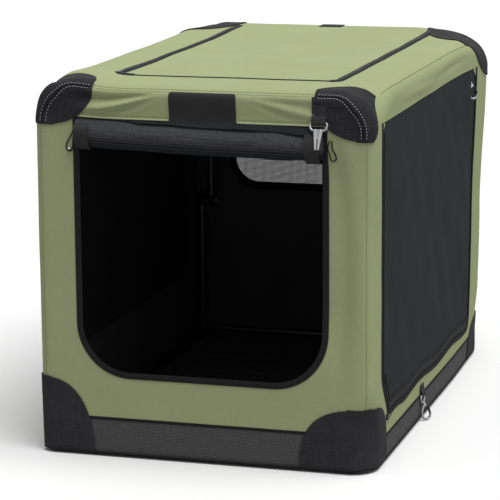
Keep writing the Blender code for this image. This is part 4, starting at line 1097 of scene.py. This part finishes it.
def make_windows():
    for side, outline, depth in (("rear", REAR_WINDOW, 0.9 * MM), ("left", LEFT_WINDOW, 1.6 * MM)):
        window = net(f"{side}_net", side, outline, 2.4 * MM, 1.5 * MM, depth)
        ride(window, "base", [f"{side}_window"], WALL_FOLD)
        line = on_side(side, outline_path(outline, -3 * MM))
        trim = [tape(f"{side}_window_binding", line, 15 * MM, 1.2 * MM, 1.3 * MM, crown=0.5 * MM),
                tape(f"{side}_window_backing", line, 15 * MM, -3.2 * MM)]
        ride(join(f"{side}_window_trim", trim), "base", fold=WALL_FOLD,
             cover=binding)


def make_left_flap():
    """The zipped cover that closes the left window from outside."""
    flap = settle_piece(panel("left_flap", "left", shrunk(LEFT_WINDOW, 0.4 * MM)))
    smooth(thicken(flap, 1.2 * MM))
    ride(flap, "base", fold=WALL_FOLD, cover=panel_cloth)
    cords = []
    for number, inset in enumerate((12 * MM, 22 * MM)):
        line = on_side("left", outline_path(LEFT_WINDOW, -inset))
        cords.append(piping(f"left_cord_{number}", line, 1.2 * MM, 0.9 * MM))
    ride(join("left_flap_piping", cords), "base", fold=WALL_FOLD, cover=binding)


def make_floor_pad():
    """Quilted floor pad with a crowned top and sewn channels."""
    low, high = (np.array(corner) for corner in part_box("floor_pad"))
    pad, share = grid("floor_cushion", 80, 122)
    flat = low[:2] + share * (high - low)[:2]
    outline = (low[:2], high[:2], (30 * MM,) * 4)
    crown = np.sqrt(np.clip(-outline_distance(flat, outline) / (26 * MM), 0, 1))
    channel = 1 - 0.45 * np.exp(-((np.mod(flat[:, 1] + 0.5, 0.108) - 0.054) / (6 * MM)) ** 2)
    height = low[2] + (high[2] - low[2]) * (0.25 + 0.75 * crown * channel)
    set_vertices(pad, np.column_stack([flat, height]))
    edit(pad, outline_distance(centres(pad)[:, :2], outline) > 0, bpy.ops.mesh.delete, type="FACE")
    smooth(apply(pad, "SOLIDIFY", thickness=2.5 * MM, offset=-1))
    ride(pad, "base", ["floor_pad"], cover=pad_cloth)


# Label, tab and straps
def off_side(side, across, out, level):
    """Points that stand off the front or the right side."""
    if side == "front":
        return np.stack([across, -HALF_DEPTH - out, level], 1)
    return np.stack([HALF_WIDTH + out, across, level], 1)


def flat_patch(name, side, outline, raised, step=4 * MM):
    """A flat patch sewn on the cover, raised along its seam."""
    piece = panel(name, side, outline, step)
    edge = -outline_distance(vertices(piece)[:, SIDES[side][:2]], outline)
    lift = raised + 0.5 * MM * np.exp(-((edge - 2.5 * MM) / (1.6 * MM)) ** 2)
    set_vertices(piece, settle(vertices(piece), lift))
    return smooth(thicken(piece, 1.5 * MM))


def make_label():
    plate = flat_patch("bare_label", "front", LABEL, 2.0 * MM, 3 * MM)
    ride(plate, "top", ["label"], cover=label_patch)
    rim = stitches("label_stitches", on_side("front", outline_path(LABEL, -3.5 * MM)),
                   2.3 * MM, length=2.2 * MM, pitch=3.4 * MM, thread=0.4 * MM)
    dress(rim, dark_thread).parent = plate
    tab = flat_patch("rear_webbing", "top", REAR_TAB, 1.8 * MM)
    ride(tab, "top", ["rear_tab"], cover=webbing)


def strap_loop(name, side, place, top, bar):
    """Webbing sewn flat on the cover, that turns round the hook's bar and back up."""
    face, reach = 1.9 * MM, 2.9 * MM
    out, height = bar
    line = [(face, z) for z in np.linspace(top, height + 6 * MM, 10)]
    line += [(out - reach * cos(a), height + reach * sin(a)) for a in np.linspace(0, -pi, 12)]
    line += [(out + reach, height + 3 * MM), (out + reach * 0.6, height + 9 * MM),
             (face + 1.9 * MM, height + 14 * MM)]
    line = spaced(line, 2 * MM)
    piece, share = grid(name, 8, len(line) - 1)
    row = np.round(share[:, 1] * (len(line) - 1)).astype(int)
    across = place + (share[:, 0] - 0.5) * 25 * MM
    set_vertices(piece, off_side(side, across, *line[row].T))
    smooth(thicken(piece, 1.2 * MM), 60)
    return dress(piece, webbing)


# Side, place along it, top of its webbing, bar (distance off the side and height), lean in
# degrees and the body that its webbing is sewn to
HOOKS = {
    "front_hook": ("front", 201 * MM, 637 * MM, (5.6 * MM, 593 * MM), 20, "top"),
    "side_hook": ("right", 310 * MM, 613 * MM, (3.8 * MM, 573 * MM), 0, "top"),
    "base_hook": ("right", -92 * MM, 67 * MM, (3.8 * MM, 45 * MM), 0, "base"),
}


def make_straps():
    for name, (side, place, top, bar, _, body) in HOOKS.items():
        strap = strap_loop(f"{name}_webbing", side, place, top, bar)
        ride(strap, body, [f"{name}_strap"])


CORD_WIDTH = 2 * MM
TURNED = radians(48)  # the jaws of the side hooks hang turned outwards


def snap_hook(name, pronged=False):
    """A snap hook hanging from its strap's loop: a slotted bar, a neck and its hooked end."""
    side, place, _, (out, height), lean, _ = HOOKS[name]
    lean = radians(lean)

    def at(*rows):
        across, down, away = (np.array(rows, float) * MM).T
        deep = out + away * cos(lean) + down * sin(lean)
        level = height - down * cos(lean) + away * sin(lean)
        return off_side(side, place + across, deep, level)

    ring = at((-12, -2, 0), (12, -2, 0), (14.3, 0, 0), (13.6, 7, 0), (10, 10.5, 0), (-10, 10.5, 0),
              (-13.6, 7, 0), (-14.3, 0, 0))
    parts = [tube(name + "_ring", ring, 1.8 * MM, 3, closed=True)]
    gate = None
    if pronged:
        for turn in (-1, 1):
            line = at((turn * 5, 9, 0.6), (turn * 4.2, 18, 1), (turn * 3, 32, 1),
                      (turn * 2.2, 43, 0.6))
            parts.append(tube(f"{name}_prong_{turn}", line, np.array((3.4, 3.2, 2.5, 1.9)) * MM, 3))
        parts.append(tube(name + "_web", at((0, 9, 0), (0, 26, 0.3)), np.array((2.6, 1.6)) * MM, 3))
    else:
        parts.append(tube(name + "_neck", at((0, 9, 0), (0, 15, 2), (0, 18, 5)), 3 * MM, 3))
        turn = np.array(((cos(TURNED), 0, sin(TURNED)), (0, 1, 0), (0, 0, 1)))
        jaw = np.array(((0, 17, 5), (-6, 20, 6), (-9, 27, 7), (-9, 35, 7), (-5, 41, 7), (1, 42, 7),
                        (7, 39, 7), (8, 32, 7))) @ turn
        parts.append(tube(name + "_jaw", at(*jaw), 2.2 * MM, 3))
        gate = tube(name + "_gate", at(*np.array(((4, 19, 6), (7.5, 32, 7))) @ turn), 2.2 * MM, 3)
    whole = ride(join(f"{name}_metal", parts), name, [name], cover=alloy)
    if gate:
        dress(gate, plastic).parent = whole


def rounded(path, cuts=3):
    """The path with its corners cut off, again and again, until it runs smoothly."""
    path = np.asarray(path, float)
    for _ in range(cuts):
        before, after = path[:-1], path[1:]
        pairs = np.stack([0.75 * before + 0.25 * after, 0.25 * before + 0.75 * after], 1)
        path = np.concatenate([path[:1], pairs.reshape(-1, path.shape[1]), path[-1:]])
    return path


def zip_cord(name, path, bead=None):
    """A loop of limp cord out of a zip's slider and back into it, with a bead on it or not."""
    line = spaced(settle(on_side("front", rounded(np.array(path) * MM)), 1.6 * MM), 2.5 * MM)
    cord = tube(f"{name}_cord", line, CORD_WIDTH / 2)
    ride(cord, "top", [name], PULL_FOLD, black_cord)
    if bead:
        place = settle(on_side("front", np.array([bead]) * MM), 3.4 * MM)[0]
        ball = sphere(f"{name}_bead", segments=16, ring_count=10, radius=3 * MM, location=place)
        bpy.ops.object.transform_apply(location=True)
        bpy.ops.object.shade_smooth()
        ride(ball, "top", fold=PULL_FOLD, cover=steel)


LEFT_PULL = [(-228, 566), (-233, 556), (-239, 546), (-241.5, 538), (-238, 531), (-231.5, 531),
             (-228.5, 538), (-228.5, 552), (-226, 565)]
RIGHT_PULL = [(219, 566), (215, 558), (215, 550), (218, 542), (218, 535), (221, 530.5), (226, 531),
              (228.5, 536), (226, 544), (221, 552), (222, 565)]


def make_fittings():
    snap_hook("front_hook", pronged=True)
    snap_hook("side_hook")
    snap_hook("base_hook")
    zip_cord("front_left_zip_pull", LEFT_PULL, (-234.5, 536))
    zip_cord("front_right_zip_pull", RIGHT_PULL)


FRAME_FINISHES = {("_rail", "_bow", "_post"): tube_coat, ("_corner", "_bracket"): plastic,
                  "_button": grey_plastic, "_slider": dark_metal}


def dress_frame():
    """Finishes for the CAD pieces that stay as they are."""
    for name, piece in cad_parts.items():
        for endings, cover in FRAME_FINISHES.items():
            if name.endswith(endings):
                dress(piece, cover)


# Studio: tones of the floor and sky as they light the crate and as they are seen, and the sun
FLOOR_LIGHT, FLOOR_SEEN = (0.42, 0.42, 0.42, 1), (0.88, 0.88, 0.88, 1)
SKY_LIGHT, SKY_SEEN = 0.36, 1.0
SUN_STRENGTH, SUN_ANGLE, SUN_WAY = 2.85, 50, (0.32, -0.16, 0.94)


def make_studio():
    """A pale floor and sky, both darker as light than as seen, and one broad sun."""
    floor = primitive("studio_floor", bpy.ops.mesh.primitive_plane_add, size=40,
                      location=(0, 0, -0.6 * MM))
    made, tree, shader, _ = finish("pale_floor", Roughness=1.0, Specular_IOR_Level=0.0)
    seen = node(tree, "ShaderNodeLightPath").outputs["Is Camera Ray"]
    tree.links.new(blend_colours(tree, seen, FLOOR_LIGHT, FLOOR_SEEN), shader.inputs["Base Color"])
    dress(floor, made)
    world = bpy.data.worlds.new("studio")
    bpy.context.scene.world = world
    world.use_nodes = True
    tree = world.node_tree
    tree.nodes.clear()
    rays = node(tree, "ShaderNodeLightPath").outputs
    seen = rays["Is Camera Ray"]
    for ray in ("Is Glossy Ray", "Is Transmission Ray"):
        seen = value_of(tree, "ShaderNodeMath", {0: seen, 1: rays[ray]}, operation="MAXIMUM")
    strength = value_of(tree, "ShaderNodeMapRange",
                        {"Value": seen, "To Min": SKY_LIGHT, "To Max": SKY_SEEN})
    sky = value_of(tree, "ShaderNodeBackground", {"Color": (1, 1, 1, 1), "Strength": strength})
    node(tree, "ShaderNodeOutputWorld", {"Surface": sky})
    lamp = bpy.data.lights.new("key_light", "SUN")
    lamp.energy = SUN_STRENGTH
    lamp.angle = radians(SUN_ANGLE)
    sun = bpy.data.objects.new("key_light", lamp)
    sun.rotation_euler = Vector(SUN_WAY).to_track_quat("Z", "Y").to_euler()
    bpy.context.scene.collection.objects.link(sun)
    bpy.context.scene.view_settings.view_transform = "Standard"


set_camera()
make_walls()
make_roof()
make_top_door()
make_side_door()
make_bottom()
make_band_trim()
make_patches()
make_roll()
make_doorway_binding()
make_top_zips()
make_side_zip()
make_seams()
make_windows()
make_left_flap()
make_floor_pad()
make_label()
make_straps()
make_fittings()
dress_frame()
make_studio()
